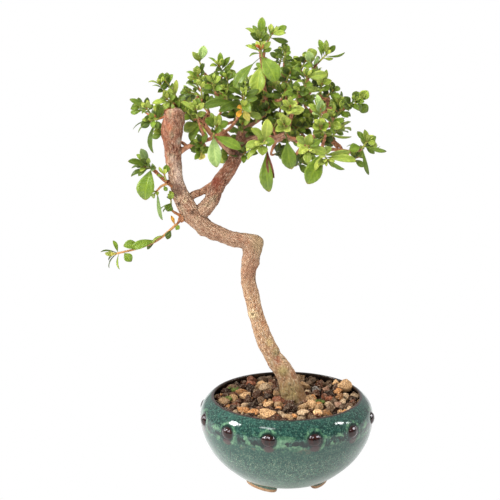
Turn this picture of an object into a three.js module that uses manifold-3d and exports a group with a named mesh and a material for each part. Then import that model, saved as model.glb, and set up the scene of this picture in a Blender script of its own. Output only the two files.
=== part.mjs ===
// Potted azalea bonsai: a leaning S-shaped trunk with a cut stub, fine twigs that end in leafy
// shoots, gravel soil, a drain screen and a round glazed bowl on three feet.
// Millimetres, +Z up, the front of the tree towards -Y. Places are measured from a point on the
// table under the bowl; the last lines move the whole to the bottom centre of its bounding box.

import * as THREE from 'three';
import { mergeVertices } from 'three/addons/utils/BufferGeometryUtils.js';
import Module from 'manifold-3d';

const wasm = await Module();
wasm.setup();

// Driving dimensions of the bowl
const POT_RADIUS = 78.3;
const POT_HEIGHT = 80.3;
const FACETS_ROUND = 24;
const BOWL_X = -1.3;
const BOTTOM_HEIGHT = 5;
const FLOOR_TOP = 11;
const DRAIN_RADIUS = 7;
const STUD_COUNT = 12;
const STUD = { radius: 6, length: 5.4, baseRadius: POT_RADIUS - 3.2, height: 64, turn: 2.3 };
const FOOT_AZIMUTHS = [-47, 73, 193];
const FOOT = { radius: 28, height: 8, acrossBowl: 7, alongBowl: 17 };

// Driving dimensions of what fills it
const GAP = 0.35;
const SCREEN = { side: 26, bars: 3, bar: 1.4, thickness: 0.8 };
const SOIL_EDGE_HEIGHT = 71.5;
const SOIL_CENTRE_HEIGHT = 74.6;
const STONE_COUNT = 22;
const STONE_RADIUS = { least: 3, most: 6.2 };

// Driving dimensions of the tree
const TWIG_RADIUS = { root: 1.5, tip: 1.05 };
const STEM_RADIUS = { root: 1.2, tip: 1.5 };
const LEAF_THICKNESS = 0.9;
const LARGE_LEAF = 19;
const BACK_LEAF = { length: 13, width: 5.5, count: 5 };

const LEANS = [0, 2, -2, 4, -4, 7, 10];

const GOLDEN_ANGLE = Math.PI * (3 - Math.sqrt(5));
const UP = new THREE.Vector3(0, 0, 1);

// The trunk from the root stock to the rounded top of the cut stub: x, y, z, radius
const TRUNK = [
  [9, 5, 34, 8], [8, 4, 52, 10.5], [7, 3, 68, 12], [5, 3, 77, 11], [1, 3, 90, 9.4], [-3, 3, 100, 8.7],
  [-13, 2, 115, 7.9], [-21, 0, 132, 7.6], [-26, -2, 147, 6.9], [-30, -3, 161, 6.4], [-34, -5, 180, 6.5],
  [-36, -5, 194, 6.9], [-34, -6, 207, 7.4], [-33, -6, 218, 7.8], [-39, -5, 224, 7.2],
  [-52, -4, 226, 6.4], [-62, -3, 230, 6.8], [-75, -2, 237, 7.4], [-86, -2, 248, 8.2], [-94, -4, 263, 7.6],
  [-98, -7, 277, 6.3], [-100, -11, 293, 6.4], [-101, -14, 308, 7.4], [-101, -18, 324, 9.1],
  [-99, -21, 336, 9], [-99, -23, 341, 7.6], [-99, -23, 342.6, 5],
];

// The live limb from the fork to the knuckle where all the boughs start
const LIMB = [
  [-88, -2, 249, 5.5], [-80, 0, 248, 6.8], [-75, 0, 251, 6.8], [-68, 3, 259, 6.7], [-65, 5, 267, 6.5],
  [-60, 6, 276, 6.7], [-53, 7, 285, 6.4], [-48, 8, 294, 6.3], [-45, 8, 301, 6], [-43, 8, 306, 4],
];

// Boughs, from where each leaves its parent to its tip
const BOUGHS = [
  [[-91, -3, 258, 3], [-84, 1, 264, 3.4], [-77, 5, 266, 3.2], [-69, 7, 271, 3.2], [-64, 6, 274, 3]],
  [[-97, -13, 303, 3.2], [-88, -13, 309, 2.5], [-76, -11, 313, 2.3], [-65, -9, 317, 2.2],
    [-53, -12, 324, 1.9], [-46, -14, 332, 1.6]],
  [[-46, 7, 299, 4.5], [-54, 4, 305, 3], [-62, 2, 312, 2.3], [-69, 2, 319, 2.2], [-76, 4, 328, 2],
    [-86, 3, 336, 1.9], [-96, 0, 343, 1.6]],
  [[-45, 8, 300, 5.6], [-43, 10, 312, 4.1], [-42, 10, 322, 3.4], [-45, 11, 330, 3], [-51, 13, 339, 2.6],
    [-59, 14, 350, 2.4], [-67, 14, 360, 2.1], [-73, 12, 368, 1.6]],
  [[-43, 10, 316, 3.3], [-34, 8, 325, 2.5], [-26, 5, 331, 2.3], [-21, 3, 340, 2.1], [-21, 0, 351, 2],
    [-23, -2, 364, 1.8], [-24, -4, 376, 1.7]],
  [[-22, 3, 338, 2.1], [-14, 5, 346, 1.9], [-8, 7, 354, 1.7], [-5, 8, 364, 1.5], [-5, 7, 373, 1.3]],
  [[-45, 7, 302, 5], [-38, 7, 309, 4], [-29, 4, 313, 3.6], [-20, 2, 312, 3.4], [-11, 0, 314, 3.4],
    [-3, -2, 317, 3.6], [6, -6, 314, 2.8], [17, -8, 315, 2.3], [26, -8, 321, 2], [33, -7, 327, 1.7]],
  [[4, -5, 314, 2.4], [12, -10, 311, 2], [24, -14, 308, 1.7], [38, -14, 307, 1.5], [52, -11, 305, 1.4]],
  [[-3, -2, 317, 2.8], [0, 0, 329, 2], [4, 4, 341, 1.8], [10, 6, 354, 1.6], [16, 5, 366, 1.4]],
  [[23, -8, 319, 2], [29, -2, 333, 1.7], [33, 4, 345, 1.5], [33, 8, 354, 1.2]],
  [[-90, -3, 250, 5], [-93, -5, 246, 2.8], [-96, -6, 242.5, 2]],
  [[-97, -8, 272, 3], [-105, -11, 277, 1.9], [-112, -13, 283, 1.7]],
  [[-45, 8, 303, 4], [-49, 18, 306, 2.8], [-54, 30, 311, 2.3], [-64, 44, 319, 1.9], [-71, 54, 326, 1.5]],
  [[-43, 10, 318, 3], [-38, 24, 327, 2.2], [-30, 38, 335, 1.8], [-26, 47, 340, 1.5]],
  [[-14, 1, 314, 3], [-7, 14, 318, 2.3], [3, 28, 323, 2], [13, 42, 329, 1.7], [21, 52, 333, 1.4]],
];

// Young shoots, each with the place where it leaves its twig and the place of its growing tip.
// A long stem bends through the places given as via. A leaf holds: share of the stem where it
// grows, x, y, z of its tip, width, roll about its length.
const FRONT_SHOOTS = [
  { base: [-107, 0, 354], top: [-111, -5, 362], leaves: [
    [0.9, -109, -7, 372, 7, 10], [0.5, -121, -8, 365, 4, 70], [0.3, -118, -2, 361, 4, 60],
    [0.15, -113, -10, 356, 5, 20], [0.8, -105, 0, 366, 4, 30], [1, -112, 1, 368, 4, -30],
    [0.7, -115, 1, 365, 3, 50],
  ] },
  { base: [-101, -7, 346], top: [-105, -11, 350], leaves: [
    [0.9, -108, -16, 357, 6, 0], [1, -102, -14, 360, 6, 10], [0.7, -98, -17, 354, 5, 10],
    [0.2, -97, -7, 366, 5, 25], [0.3, -118, -13, 347, 5, 10], [0.5, -107, -17, 342, 5, 0],
    [0.2, -98, -14, 342, 4, 40], [0.6, -112, -7, 350, 4, 20],
  ] },
  { base: [-119, -14, 337], top: [-122, -20, 343], leaves: [
    [0.9, -136, -24, 352, 5, 15], [1, -121, -24, 349, 7, 0], [0.7, -117, -22, 347, 4, 30],
    [0.6, -130, -17, 343, 4, 60], [0.3, -126, -24, 340, 4, 50],
  ] },
  { base: [-112, -17, 334], top: [-118, -20, 333], leaves: [
    [0.9, -127, -24, 328, 8, 10], [0.8, -119, -23, 340, 5, 0], [1, -124, -22, 336, 5, 20],
    [0.5, -135, -18, 326, 4, 70], [0.7, -130, -25, 324, 3, 80], [0.1, -118, -26, 306, 7, 55],
    [0.3, -113, -23, 326, 5, 20], [0.3, -114, -18, 342, 4, 30], [0.1, -109, -17, 345, 4, 20],
    [0.6, -117, -28, 328, 5, 10],
  ] },
  { base: [-76, 5, 361], top: [-79, 3, 368], leaves: [
    [0.6, -89, 4, 372, 4, 40], [0.9, -83, 1, 375, 4, 10], [1, -80, 4, 377, 5, 0],
    [1, -75, 6, 379, 4, 20], [0.3, -83, -1, 363, 5, 20], [0.4, -70, 0, 369, 4, 20],
    [0.7, -75, 9, 373, 4, 40],
  ] },
  { base: [-75, 16, 370], top: [-78, 14, 379], leaves: [
    [1, -74, 14, 393, 8, 5], [0.9, -84, 10, 388, 5, 0], [0.4, -74, 10, 378, 3, 30],
  ] },
  { base: [-76, 0, 349], top: [-76, -3, 358], leaves: [
    [0.5, -87, -3, 362, 4, 55], [0.2, -87, 0, 356, 4, 60], [0.8, -72, -5, 364, 5, 10],
    [1, -76, -1, 366, 4, 20], [0.4, -69, -6, 358, 4, 50], [0.1, -82, -8, 354, 3, 20],
  ] },
  { base: [-81, 11, 351], top: [-86, 8, 353], leaves: [
    [0.8, -92, 7, 358, 4, 10], [1, -95, 6, 353, 5, 10], [0.9, -97, 4, 348, 4, 50],
    [0.3, -83, 12, 357, 4, 30], [0.2, -95, 14, 346, 8, 15], [0.5, -90, 4, 347, 4, 50],
  ] },
  { base: [-79, -20, 335], top: [-80, -31, 344], leaves: [
    [0.5, -92, -33, 351, 5, 25], [0.9, -82, -35, 353, 4, 0], [1, -78, -33, 354, 7, 0],
    [0.8, -73, -35, 350, 5, 10], [0.7, -85, -37, 348, 4, 0], [0.3, -72, -35, 342, 5, 20],
    [0.4, -83, -37, 341, 4, 0],
  ] },
  { base: [-58, 22, 368], top: [-61, 16, 375], leaves: [
    [0.6, -70, 16, 383, 4, 45], [0.9, -69, 11, 376, 4, 20], [1, -60, 15, 387, 5, 10],
    [0.5, -64, 10, 372, 5, 0], [0.5, -52, 16, 383, 5, 10], [0.4, -48, 19, 380, 4, 40],
    [0.3, -50, 13, 376, 4, 20], [0.9, -57, 10, 381, 4, 10], [0.05, -47, 19, 370, 6, 30],
    [0.05, -66, 19, 365, 5, 30],
  ] },
  { base: [-26, -4, 394], top: [-26, -5, 401], leaves: [
    [1, -24, -5, 419, 7, 5], [0.8, -38, -3, 410, 5, 20], [0.9, -32, 0, 412, 4, 10],
    [0.5, -34, -9, 406, 6, 10], [0.9, -20, -1, 411, 4, 10], [0.9, -28, -13, 409, 5, 0],
    [0.8, -22, -12, 409, 5, 10], [0.6, -18, -10, 405, 5, 30],
  ] },
  { base: [-19, -2, 399], top: [-16, -1, 404], leaves: [
    [0.9, -3, 1, 411, 6, 15], [1, -4, -5, 406, 5, 10], [0.6, -16, 2, 412, 5, 0],
    [0.5, -2, -4, 398, 5, 30], [1, -11, 4, 411, 3, 30], [0.2, -23, 3, 406, 4, 30],
  ] },
  { base: [-24, -7, 385], top: [-25, -9, 392], leaves: [
    [0.7, -38, -10, 396, 4, 20], [1, -33, -7, 397, 3, 10], [0.5, -35, -13, 387, 4, 40],
    [0.9, -17, -12, 399, 5, 20], [0.6, -16, -7, 393, 4, 30], [0.1, -48, -19, 360, 11, 20],
    [0.15, -29, -23, 356, 14, 0], [0.2, -12, -21, 366, 16, -5], [0.3, -19, -6, 381, 4, 20],
  ] },
  { base: [-40, -20, 347], top: [-39, -31, 356], leaves: [
    [0.7, -53, -34, 362, 6, 35], [0.9, -44, -31, 367, 5, 20], [0.8, -27, -35, 361, 6, 10],
    [0.5, -28, -34, 354, 6, 20], [1, -38, -29, 364, 5, 10], [0.1, -74, -35, 347, 9, 15],
    [0.05, -60, -39, 344, 8, 5], [0.15, -34, -39, 343, 8, 5], [0.6, -49, -37, 354, 5, 20],
  ] },
  { base: [-5, 8, 379], top: [-4, 5, 388], leaves: [
    [1, -6, 5, 397, 5, 10], [0.9, -1, 2, 394, 5, 0], [0.3, 14, 1, 385, 4, 60],
    [0.6, -14, 7, 390, 5, 20], [0.4, -12, -1, 385, 5, 20], [0.2, 0, -1, 375, 6, 10],
    [0.1, 11, 8, 375, 7, 25],
  ] },
  { base: [24, 5, 379], top: [31, 5, 386], leaves: [
    [0.8, 25, 8, 399, 5, 10], [1, 31, 3, 399, 5, 0], [0.5, 24, 1, 393, 4, 40],
    [1, 39, 6, 394, 5, 15], [0.9, 47, 1, 388, 3, 70], [0.6, 37, 2, 383, 3, 40],
    [1, 35, 10, 391, 4, 30], [0.3, 23, 8, 385, 3, 40],
  ] },
  { base: [20, 3, 372], top: [18, 0, 380], leaves: [
    [0.8, 15, -4, 390, 8, 0], [0.9, 18, 5, 392, 9, 25], [0.5, 24, 3, 385, 4, 30],
    [0.4, 11, -3, 377, 4, 20], [1, 20, -1, 386, 3, 40],
  ] },
  { base: [11, -5, 358], top: [14, -11, 369], leaves: [
    [0.9, 2, -15, 377, 4, 40], [1, 31, -17, 372, 8, 10], [0.9, 21, -13, 376, 5, 20],
    [0.7, 7, -6, 373, 4, 20], [1, 14, -14, 377, 4, 10], [0.5, 5, -17, 366, 4, 20],
    [0.4, 19, -16, 363, 5, 30],
  ] },
  { base: [26, 0, 353], top: [27, -7, 362], leaves: [
    [1, 31, -10, 375, 5, 10], [1, 35, -12, 366, 6, 10], [0.7, 33, -11, 358, 7, 0],
    [0.8, 23, -12, 368, 6, 0], [0.5, 26, -15, 357, 6, 0], [0.4, 20, -10, 358, 5, 20],
    [0.2, 11, -1, 357, 9, 20],
  ] },
  { base: [6, -14, 349], top: [6, -22, 358], leaves: [
    [0.8, -2, -22, 365, 4, 20], [0.7, -1, -27, 352, 7, 10], [0.7, 16, -26, 358, 8, 5],
    [0.9, 12, -26, 363, 5, 0], [1, 4, -24, 367, 5, 10], [0.3, 11, -27, 349, 5, 10],
    [0.4, -5, -28, 358, 5, 20],
  ] },
  { base: [-3, -34, 339], top: [-1, -44, 348], leaves: [
    [0.8, -7, -46, 354, 5, 0], [1, -1, -47, 356, 5, 0], [0.9, 5, -48, 352, 5, 0],
    [0.7, 6, -49, 346, 5, 0], [0.6, -2, -50, 343, 6, 0], [0.7, -9, -47, 348, 5, 0],
    [0.3, 11, -42, 346, 8, 0],
  ] },
  { base: [37, -3, 328], top: [42, 0, 343], leaves: [
    [0.2, 47, -6, 346, 7, 5], [1, 43, 3, 352, 5, 10], [0.8, 35, 2, 355, 5, 20],
    [1, 45, 6, 355, 3, 30], [0.9, 48, -3, 350, 5, 10], [0.6, 35, -3, 347, 5, 10],
  ] },
  { base: [55, -2, 344], top: [60, -1, 347], leaves: [
    [0.9, 58, 1, 355, 6, 0], [1, 67, -3, 356, 9, 5], [0.6, 67, -4, 338, 9, 10],
    [0.9, 63, 2, 346, 3, 50], [0.05, 47, -5, 345, 6, 20],
  ] },
  { base: [25, -24, 334], top: [25, -34, 344], leaves: [
    [0.6, 25, -39, 353, 8, 0], [0.5, 15, -37, 349, 6, 10], [0.9, 22, -32, 357, 5, 10],
    [0.8, 29, -36, 349, 5, 10], [0.3, 18, -40, 342, 5, 20], [0.2, 32, -30, 340, 5, 30],
  ] },
  { base: [35, -14, 328], top: [35, -20, 336], leaves: [
    [0.8, 32, -23, 342, 7, 0], [1, 37, -18, 348, 4, 40], [0.5, 46, -21, 333, 5, 20],
    [0.9, 40, -24, 340, 5, 0], [0.3, 28, -25, 337, 5, 10], [0.2, 43, -26, 328, 8, 25],
    [0.1, 38, -24, 322, 5, 50],
  ] },
  { base: [29, -27, 323], top: [25, -37, 331], leaves: [
    [0.8, 18, -40, 330, 8, 10], [1, 25, -39, 338, 6, 0], [0.7, 32, -41, 333, 8, 10],
    [0.8, 21, -34, 336, 5, 10], [0.4, 29, -44, 328, 5, 10], [0.3, 19, -41, 325, 5, 20],
    [0.1, 51, -37, 321, 3, 70],
  ] },
  { base: [10, 19, 320], top: [14, 16, 329], leaves: [
    [0.7, 7, 16, 334, 9, 15], [0.9, 18, 13, 325, 8, 10], [1, 21, 16, 333, 6, 20],
    [0.6, 8, 12, 325, 6, 10], [1, 15, 19, 338, 6, 10],
  ] },
  { base: [62, -10, 307], top: [66, -11, 313], leaves: [
    [0.8, 58, -9, 322, 5, 10], [1, 64, -13, 324, 5, 0], [0.9, 74, -12, 318, 5, 15],
    [0.6, 78, -9, 308, 3, 70], [0.4, 83, -14, 305, 4, 25], [1, 73, -15, 312, 5, 10],
    [0.05, 51, -13, 306, 9, 10], [0.1, 68, -12, 284, 4, 20], [0.2, 49, -7, 309, 3, 70],
  ] },
  { base: [12, -48, 320], top: [14, -60, 315], leaves: [
    [0.5, 4, -60, 325, 7, 10], [0.7, 16, -62, 328, 8, 0], [0.8, 24, -62, 323, 7, 0],
    [0.6, 6, -64, 312, 7, 0], [0.9, 13, -66, 304, 7, 0], [0.8, 29, -62, 312, 8, 5],
    [0.3, 5, -54, 316, 7, 20],
  ] },
  { base: [26, -37, 309], top: [30, -44, 304], leaves: [
    [0.5, 50, -44, 310, 6, 15], [0.8, 55, -47, 303, 7, 5], [0.9, 45, -46, 295, 4, 40],
    [0.5, 20, -48, 295, 5, 10], [0.7, 39, -41, 296, 4, 40], [0.3, 34, -48, 314, 7, 0],
    [1, 23, -50, 300, 6, 0], [0.05, 14, -50, 284, 15, 0], [0.6, 24, -51, 307, 6, 10],
  ] },
  { base: [-20, -34, 319], top: [-24, -48, 317], leaves: [
    [0.5, -38, -48, 315, 8, 10], [0.9, -24, -54, 309, 9, 0], [0.7, -14, -51, 320, 8, 0],
    [0.4, -20, -47, 338, 10, 5], [0.9, -27, -53, 326, 5, 0], [0.3, -33, -44, 330, 7, 15],
    [0.6, -37, -46, 304, 5, 20], [0.1, -19, -50, 277, 12, 10], [0.7, -38, -43, 311, 6, 20],
  ] },
  { base: [-4, -37, 325], top: [-6, -48, 334], leaves: [
    [0.8, -10, -46, 344, 5, 10], [0.8, -12, -51, 338, 6, 0], [1, -7, -52, 343, 6, 0],
    [0.9, 0, -51, 338, 7, 0], [0.6, -1, -53, 329, 7, 0], [0.6, -13, -52, 329, 7, 0],
    [0.1, 0, -52, 297, 13, 10], [0.1, 4, -42, 297, 10, 25],
  ] },
  { base: [-66, -17, 318], top: [-63, -26, 329], leaves: [
    [0.7, -72, -26, 336, 8, 10], [0.9, -60, -26, 339, 6, 10], [0.8, -53, -28, 333, 7, 10],
    [0.5, -67, -30, 325, 6, 0], [0.5, -58, -32, 327, 6, 0], [0.05, -42, -28, 310, 9, 10],
    [0.1, -39, -20, 313, 4, 50], [0.03, -63, -32, 295, 12, 5], [0.9, -68, -20, 340, 4, 20],
  ] },
  { base: [-76, 0, 326], top: [-80, 3, 329], leaves: [
    [0.7, -91, -1, 336, 7, 10], [0.4, -92, 0, 321, 10, 5], [0.1, -86, -2, 312, 8, 10],
    [0.2, -72, -1, 316, 4, 20], [0.9, -87, 8, 329, 4, 20],
  ] },
  { base: [-42, -26, 341], top: [-40, -29, 346], leaves: [
    [0.8, -35, -32, 342, 5, 0], [0.6, -45, -33, 338, 5, 0], [1, -38, -29, 349, 5, 10],
    [0.3, -24, -26, 336, 6, 20], [0.5, -35, -34, 335, 6, 10], [0.9, -45, -34, 346, 4, 0],
  ] },
  { base: [-119, -15, 290], top: [-122, -17, 294], leaves: [
    [0.9, -128, -16, 308, 7, 5], [0.6, -139, -19, 298, 6, 10], [0.8, -132, -14, 303, 5, 20],
    [0.7, -137, -13, 291, 4, 40], [0.3, -115, -21, 292, 7, 10], [0.1, -137, -19, 285, 5, 20],
    [0.15, -125, -25, 265, 16, 5], [1, -128, -24, 300, 5, 10],
  ] },
  { base: [-73, -4, 303], top: [-76, -5, 307], leaves: [
    [0.8, -78, -8, 297, 9, 5], [0.3, -57, -7, 294, 6, 15], [0.6, -83, -1, 305, 3, 50],
  ] },
  { base: [-103, -10, 255], top: [-103, -12, 262], leaves: [
    [0.7, -106, -16, 253, 8, 0], [0.6, -113, -8, 253, 3, 70], [0.2, -110, -17, 253, 3, 70],
    [1, -106, -9, 265, 5, 30],
  ] },
  { base: [-98, -7, 240], via: [[-115, -9, 226], [-132, -11, 219]], top: [-153, -12, 214], leaves: [
    [0.04, -96, -10, 236, 5, 15], [0.1, -107, -11, 227, 6, 10], [0.22, -120, -14, 224, 4, 40],
    [0.35, -138, -15, 220, 8, 5], [0.36, -125, -7, 217, 4, 10], [0.6, -145, -13, 222, 9, 10],
    [0.04, -103, -11, 248, 3, 10], [0.97, -165, -14, 217, 3, 55], [0.96, -154, -11, 226, 4, 15],
    [0.97, -157, -16, 214, 3, 10], [0.95, -159, -9, 208, 4, 75], [0.88, -138, -15, 208, 8, 5],
    [0.94, -149, -16, 201, 3, 55], [0.97, -159, -9, 201, 4, 60],
  ] },
  { base: [-18, 5, 354], top: [-14, 3, 358], leaves: [
    [0.4, -20, -5, 351, 11, 5], [0.9, -11, -2, 362, 6, 10], [1, -6, -3, 358, 6, 10],
    [0.7, -9, -1, 349, 7, 0], [0.8, -19, 6, 363, 6, 20], [0.2, -8, 0, 342, 7, 15],
  ] },
  { base: [-106, -14, 277], via: [[-111, -15, 275]], top: [-115, -16, 271], leaves: [
    [0.95, -111, -17, 245, 4, 15], [0.3, -106, -16, 271, 4, 20],
  ] },
  { base: [-107, -16, 280.5], top: [-108, -17, 285], leaves: [
    [0.9, -106, -16, 294, 6, 10], [0.6, -115, -16, 285, 3, 20],
  ] },
];

// Shoots on the far side of the crown, where the leaves stand in a spiral
const BACK_SHOOTS = [
  { base: [-74, 62, 330], top: [-80, 69, 336] }, { base: [-60, 44, 334], top: [-62, 50, 345] },
  { base: [-88, 42, 330], top: [-97, 46, 336] }, { base: [-44, 60, 324], top: [-43, 70, 329] },
  { base: [-24, 54, 340], top: [-23, 60, 350] }, { base: [-34, 34, 346], top: [-36, 39, 357] },
  { base: [-8, 44, 346], top: [-5, 50, 355] }, { base: [24, 58, 332], top: [30, 65, 338] },
  { base: [14, 44, 340], top: [16, 48, 351] }, { base: [38, 34, 330], top: [46, 39, 336] },
  { base: [2, 62, 320], top: [2, 72, 325] }, { base: [-20, 30, 362], top: [-20, 36, 373] },
  { base: [20, 26, 356], top: [24, 31, 366] }, { base: [40, 16, 316], top: [47, 21, 321] },
];

// The bowl's section as radius and height: outside from the drain hole up to the lip, then inside
const POT_OUTSIDE = [
  [DRAIN_RADIUS, BOTTOM_HEIGHT], [37, BOTTOM_HEIGHT], [47.5, 10], [59.5, 20], [68, 30], [75, 43],
  [POT_RADIUS - 0.3, 55], [POT_RADIUS, 64], [75.4, 73],
];
const POT_LIP = [[68.6, 79.2], [67, POT_HEIGHT], [65.6, 79]];
const POT_INSIDE = [[70.2, 71.2], [73, 60], [69, 42], [62, 30], [38, FLOOR_TOP]];

const vector = ([x, y, z]) => new THREE.Vector3(x, y, z);
const radians = THREE.MathUtils.degToRad;

// A repeatable draw of numbers between 0 and 1
function seeded(seed) {
  let state = seed;
  return () => {
    state = (state * 48271) % 2147483647;
    return state / 2147483647;
  };
}

// A closed three.js shape as a solid that can be joined and cut
function solid(geometry) {
  const bare = geometry.clone();
  bare.deleteAttribute('normal');
  bare.deleteAttribute('uv');
  const merged = mergeVertices(bare, 1e-4);
  return new wasm.Manifold(new wasm.Mesh({
    numProp: 3,
    vertProperties: Float32Array.from(merged.attributes.position.array),
    triVerts: Uint32Array.from(merged.index.array),
  }));
}

function geometryOf(shape) {
  const mesh = shape.getMesh();
  const geometry = new THREE.BufferGeometry();
  geometry.setAttribute('position', new THREE.BufferAttribute(mesh.vertProperties, 3));
  geometry.setIndex(new THREE.BufferAttribute(mesh.triVerts, 1));
  const flat = geometry.toNonIndexed();
  flat.computeVertexNormals();
  return flat;
}

const joined = (shapes) => wasm.Manifold.union(shapes);

const turned = (profile) => {
  const points = profile.map(([radius, height]) => new THREE.Vector2(radius, height));
  return new THREE.LatheGeometry(points, FACETS_ROUND).rotateX(Math.PI / 2);
};

// Point and radius at a share of a smooth line through points of x, y, z, radius
function along(points, share) {
  const curve = new THREE.CatmullRomCurve3(points.map(vector), false, 'catmullrom', 0.5);
  const place = share * (points.length - 1);
  const before = Math.min(Math.floor(place), points.length - 2);
  const radius = THREE.MathUtils.lerp(points[before][3], points[before + 1][3], place - before);
  return { point: curve.getPoint(share), radius };
}

// A round tapered limb: a cylinder whose rings are set square to a bent line
function limb(points, sides, steps, extra = 0) {
  const rings = [];
  for (let i = 0; i <= steps; i += 1) {
    rings.push(along(points, i / steps));
  }
  let side = new THREE.Vector3(0, 1, 0);
  rings.forEach((ring, i) => {
    const ahead = rings[Math.min(i + 1, steps)].point;
    const behind = rings[Math.max(i - 1, 0)].point;
    const tangent = ahead.clone().sub(behind).normalize();
    side = side.clone().addScaledVector(tangent, -side.dot(tangent)).normalize();
    ring.side = side;
    ring.other = tangent.clone().cross(side);
  });
  const geometry = new THREE.CylinderGeometry(1, 1, 1, sides, steps);
  const position = geometry.attributes.position;
  for (let i = 0; i < position.count; i += 1) {
    const ring = rings[Math.round((0.5 + position.getY(i)) * steps)];
    const spot = ring.point.clone();
    spot.addScaledVector(ring.other, position.getX(i) * (ring.radius + extra));
    spot.addScaledVector(ring.side, position.getZ(i) * (ring.radius + extra));
    position.setXYZ(i, spot.x, spot.y, spot.z);
  }
  return solid(geometry);
}

// Half width of a leaf along its length: narrow at the root, widest past the middle
const leafOutline = (share) => Math.sin(Math.PI * share ** 1.3) ** 0.75;

// A leaf: a thin keeled blade, pinched to a point at the root and at the tip. A small one has a
// three-cornered section and a large one is folded along its midrib.
function leaf(root, tip, width, roll, facing, extra = 0) {
  const length = root.distanceTo(tip);
  const large = length > LARGE_LEAF;
  const shares = large ? [0, 0.2, 0.5, 0.8, 1] : [0, 0.42, 0.78, 1];
  const sides = large ? 4 : 3;
  const axis = tip.clone().sub(root).normalize();
  const normal = facing.clone().addScaledVector(axis, -facing.dot(axis)).normalize();
  normal.applyAxisAngle(axis, radians(roll));
  const across = axis.clone().cross(normal);
  const steps = shares.length - 1;
  const geometry = new THREE.CylinderGeometry(0, 0, 1, sides, steps, true);
  const position = geometry.attributes.position;
  for (let i = 0; i < position.count; i += 1) {
    const row = Math.floor(i / (sides + 1));
    const share = shares[steps - row];
    const half = leafOutline(share) * (width / 2 + extra);
    const thick = LEAF_THICKNESS / 2 + extra;
    const edge = [half, 0.25 * half + 0.4 * extra];
    const corners = [[0, thick], edge, [0, -thick], [-edge[0], edge[1]]].slice(large ? 0 : 1);
    const corner = share % 1 === 0 ? [0, 0] : corners[i % (sides + 1) % sides];
    const spot = root.clone().addScaledVector(axis, share * length);
    spot.addScaledVector(normal, 0.4 * share * (1 - share) * length + corner[1]);
    spot.addScaledVector(across, corner[0]);
    position.setXYZ(i, spot.x, spot.y, spot.z);
  }
  return solid(geometry);
}

function pot() {
  const section = [...POT_OUTSIDE, ...POT_LIP, ...POT_INSIDE, [DRAIN_RADIUS, FLOOR_TOP], POT_OUTSIDE[0]];
  const pieces = [solid(turned(section))];
  const dome = [[0, 0], [1, 0], [0.84, 0.7], [0, 1]].map(
    ([across, out]) => new THREE.Vector2(across * STUD.radius, out * STUD.length),
  );
  for (let i = 0; i < STUD_COUNT; i += 1) {
    const azimuth = radians((i + 0.5) * 360 / STUD_COUNT + STUD.turn);
    const stud = new THREE.LatheGeometry(dome, 7);
    stud.translate(0, STUD.baseRadius, 0);
    stud.rotateZ(azimuth);
    stud.translate(0, 0, STUD.height);
    pieces.push(solid(stud));
  }
  FOOT_AZIMUTHS.forEach((degrees) => {
    const foot = new THREE.CylinderGeometry(1, 0.86, FOOT.height, 8);
    foot.rotateX(Math.PI / 2);
    foot.scale(FOOT.alongBowl, FOOT.acrossBowl, 1);
    foot.translate(0, -FOOT.radius, FOOT.height / 2);
    foot.rotateZ(radians(degrees));
    pieces.push(solid(foot));
  });
  return joined(pieces).translate([BOWL_X, 0, 0]);
}

function drainScreen() {
  const { side, bars, bar, thickness } = SCREEN;
  const pieces = [];
  for (let i = 0; i < bars; i += 1) {
    const place = (i / (bars - 1) - 0.5) * (side - bar);
    const height = FLOOR_TOP + GAP + thickness / 2;
    pieces.push(solid(new THREE.BoxGeometry(side, bar, thickness).translate(0, place, height)));
    pieces.push(solid(new THREE.BoxGeometry(bar, side, thickness).translate(place, 0, height)));
  }
  return joined(pieces).translate([BOWL_X, 0, 0]);
}

// Gravel soil that fills the bowl, with stones standing out of it and a plain hole for the trunk
function soil() {
  const draw = seeded(71);
  const clear = 1.5 * GAP;
  const bottom = FLOOR_TOP + SCREEN.thickness + 2 * GAP;
  const wall = POT_INSIDE.slice(0, -1).reverse();
  const profile = [[0, bottom], [36, bottom], ...wall.map(([r, z]) => [r - clear, z + 0.5 * clear])];
  const edge = POT_INSIDE[0][0] - clear;
  const pieces = [solid(turned([...profile, [edge, SOIL_EDGE_HEIGHT], [0, SOIL_CENTRE_HEIGHT]]))];
  for (let i = 0; i < STONE_COUNT; i += 1) {
    const size = THREE.MathUtils.lerp(STONE_RADIUS.least, STONE_RADIUS.most, draw() ** 1.5);
    const reach = (edge - STONE_RADIUS.most - 3.4) * Math.sqrt((i + 0.5) / STONE_COUNT);
    const stone = new THREE.IcosahedronGeometry(size);
    stone.rotateX(draw() * Math.PI);
    stone.rotateY(draw() * Math.PI);
    stone.scale(1, 0.8 + 0.2 * draw(), 0.75);
    stone.rotateZ(draw() * Math.PI);
    const slope = (SOIL_CENTRE_HEIGHT - SOIL_EDGE_HEIGHT) * (1 - reach / edge);
    stone.translate(
      reach * Math.cos(i * GOLDEN_ANGLE),
      reach * Math.sin(i * GOLDEN_ANGLE),
      SOIL_EDGE_HEIGHT + slope + 0.2 * size,
    );
    pieces.push(solid(stone));
  }
  return joined(pieces).translate([BOWL_X, 0, 0]).subtract(limb(TRUNK, 8, TRUNK.length - 1, GAP));
}

const stemPoints = ({ base, via = [], top }) => [base, ...via, top];

// All places on the limb and boughs where a twig may start
function sproutPlaces() {
  const places = [];
  [LIMB, ...BOUGHS].forEach((points) => {
    const steps = 4 * (points.length - 1);
    for (let i = 4; i <= steps; i += 1) {
      places.push(along(points, i / steps));
    }
  });
  return places;
}

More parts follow.
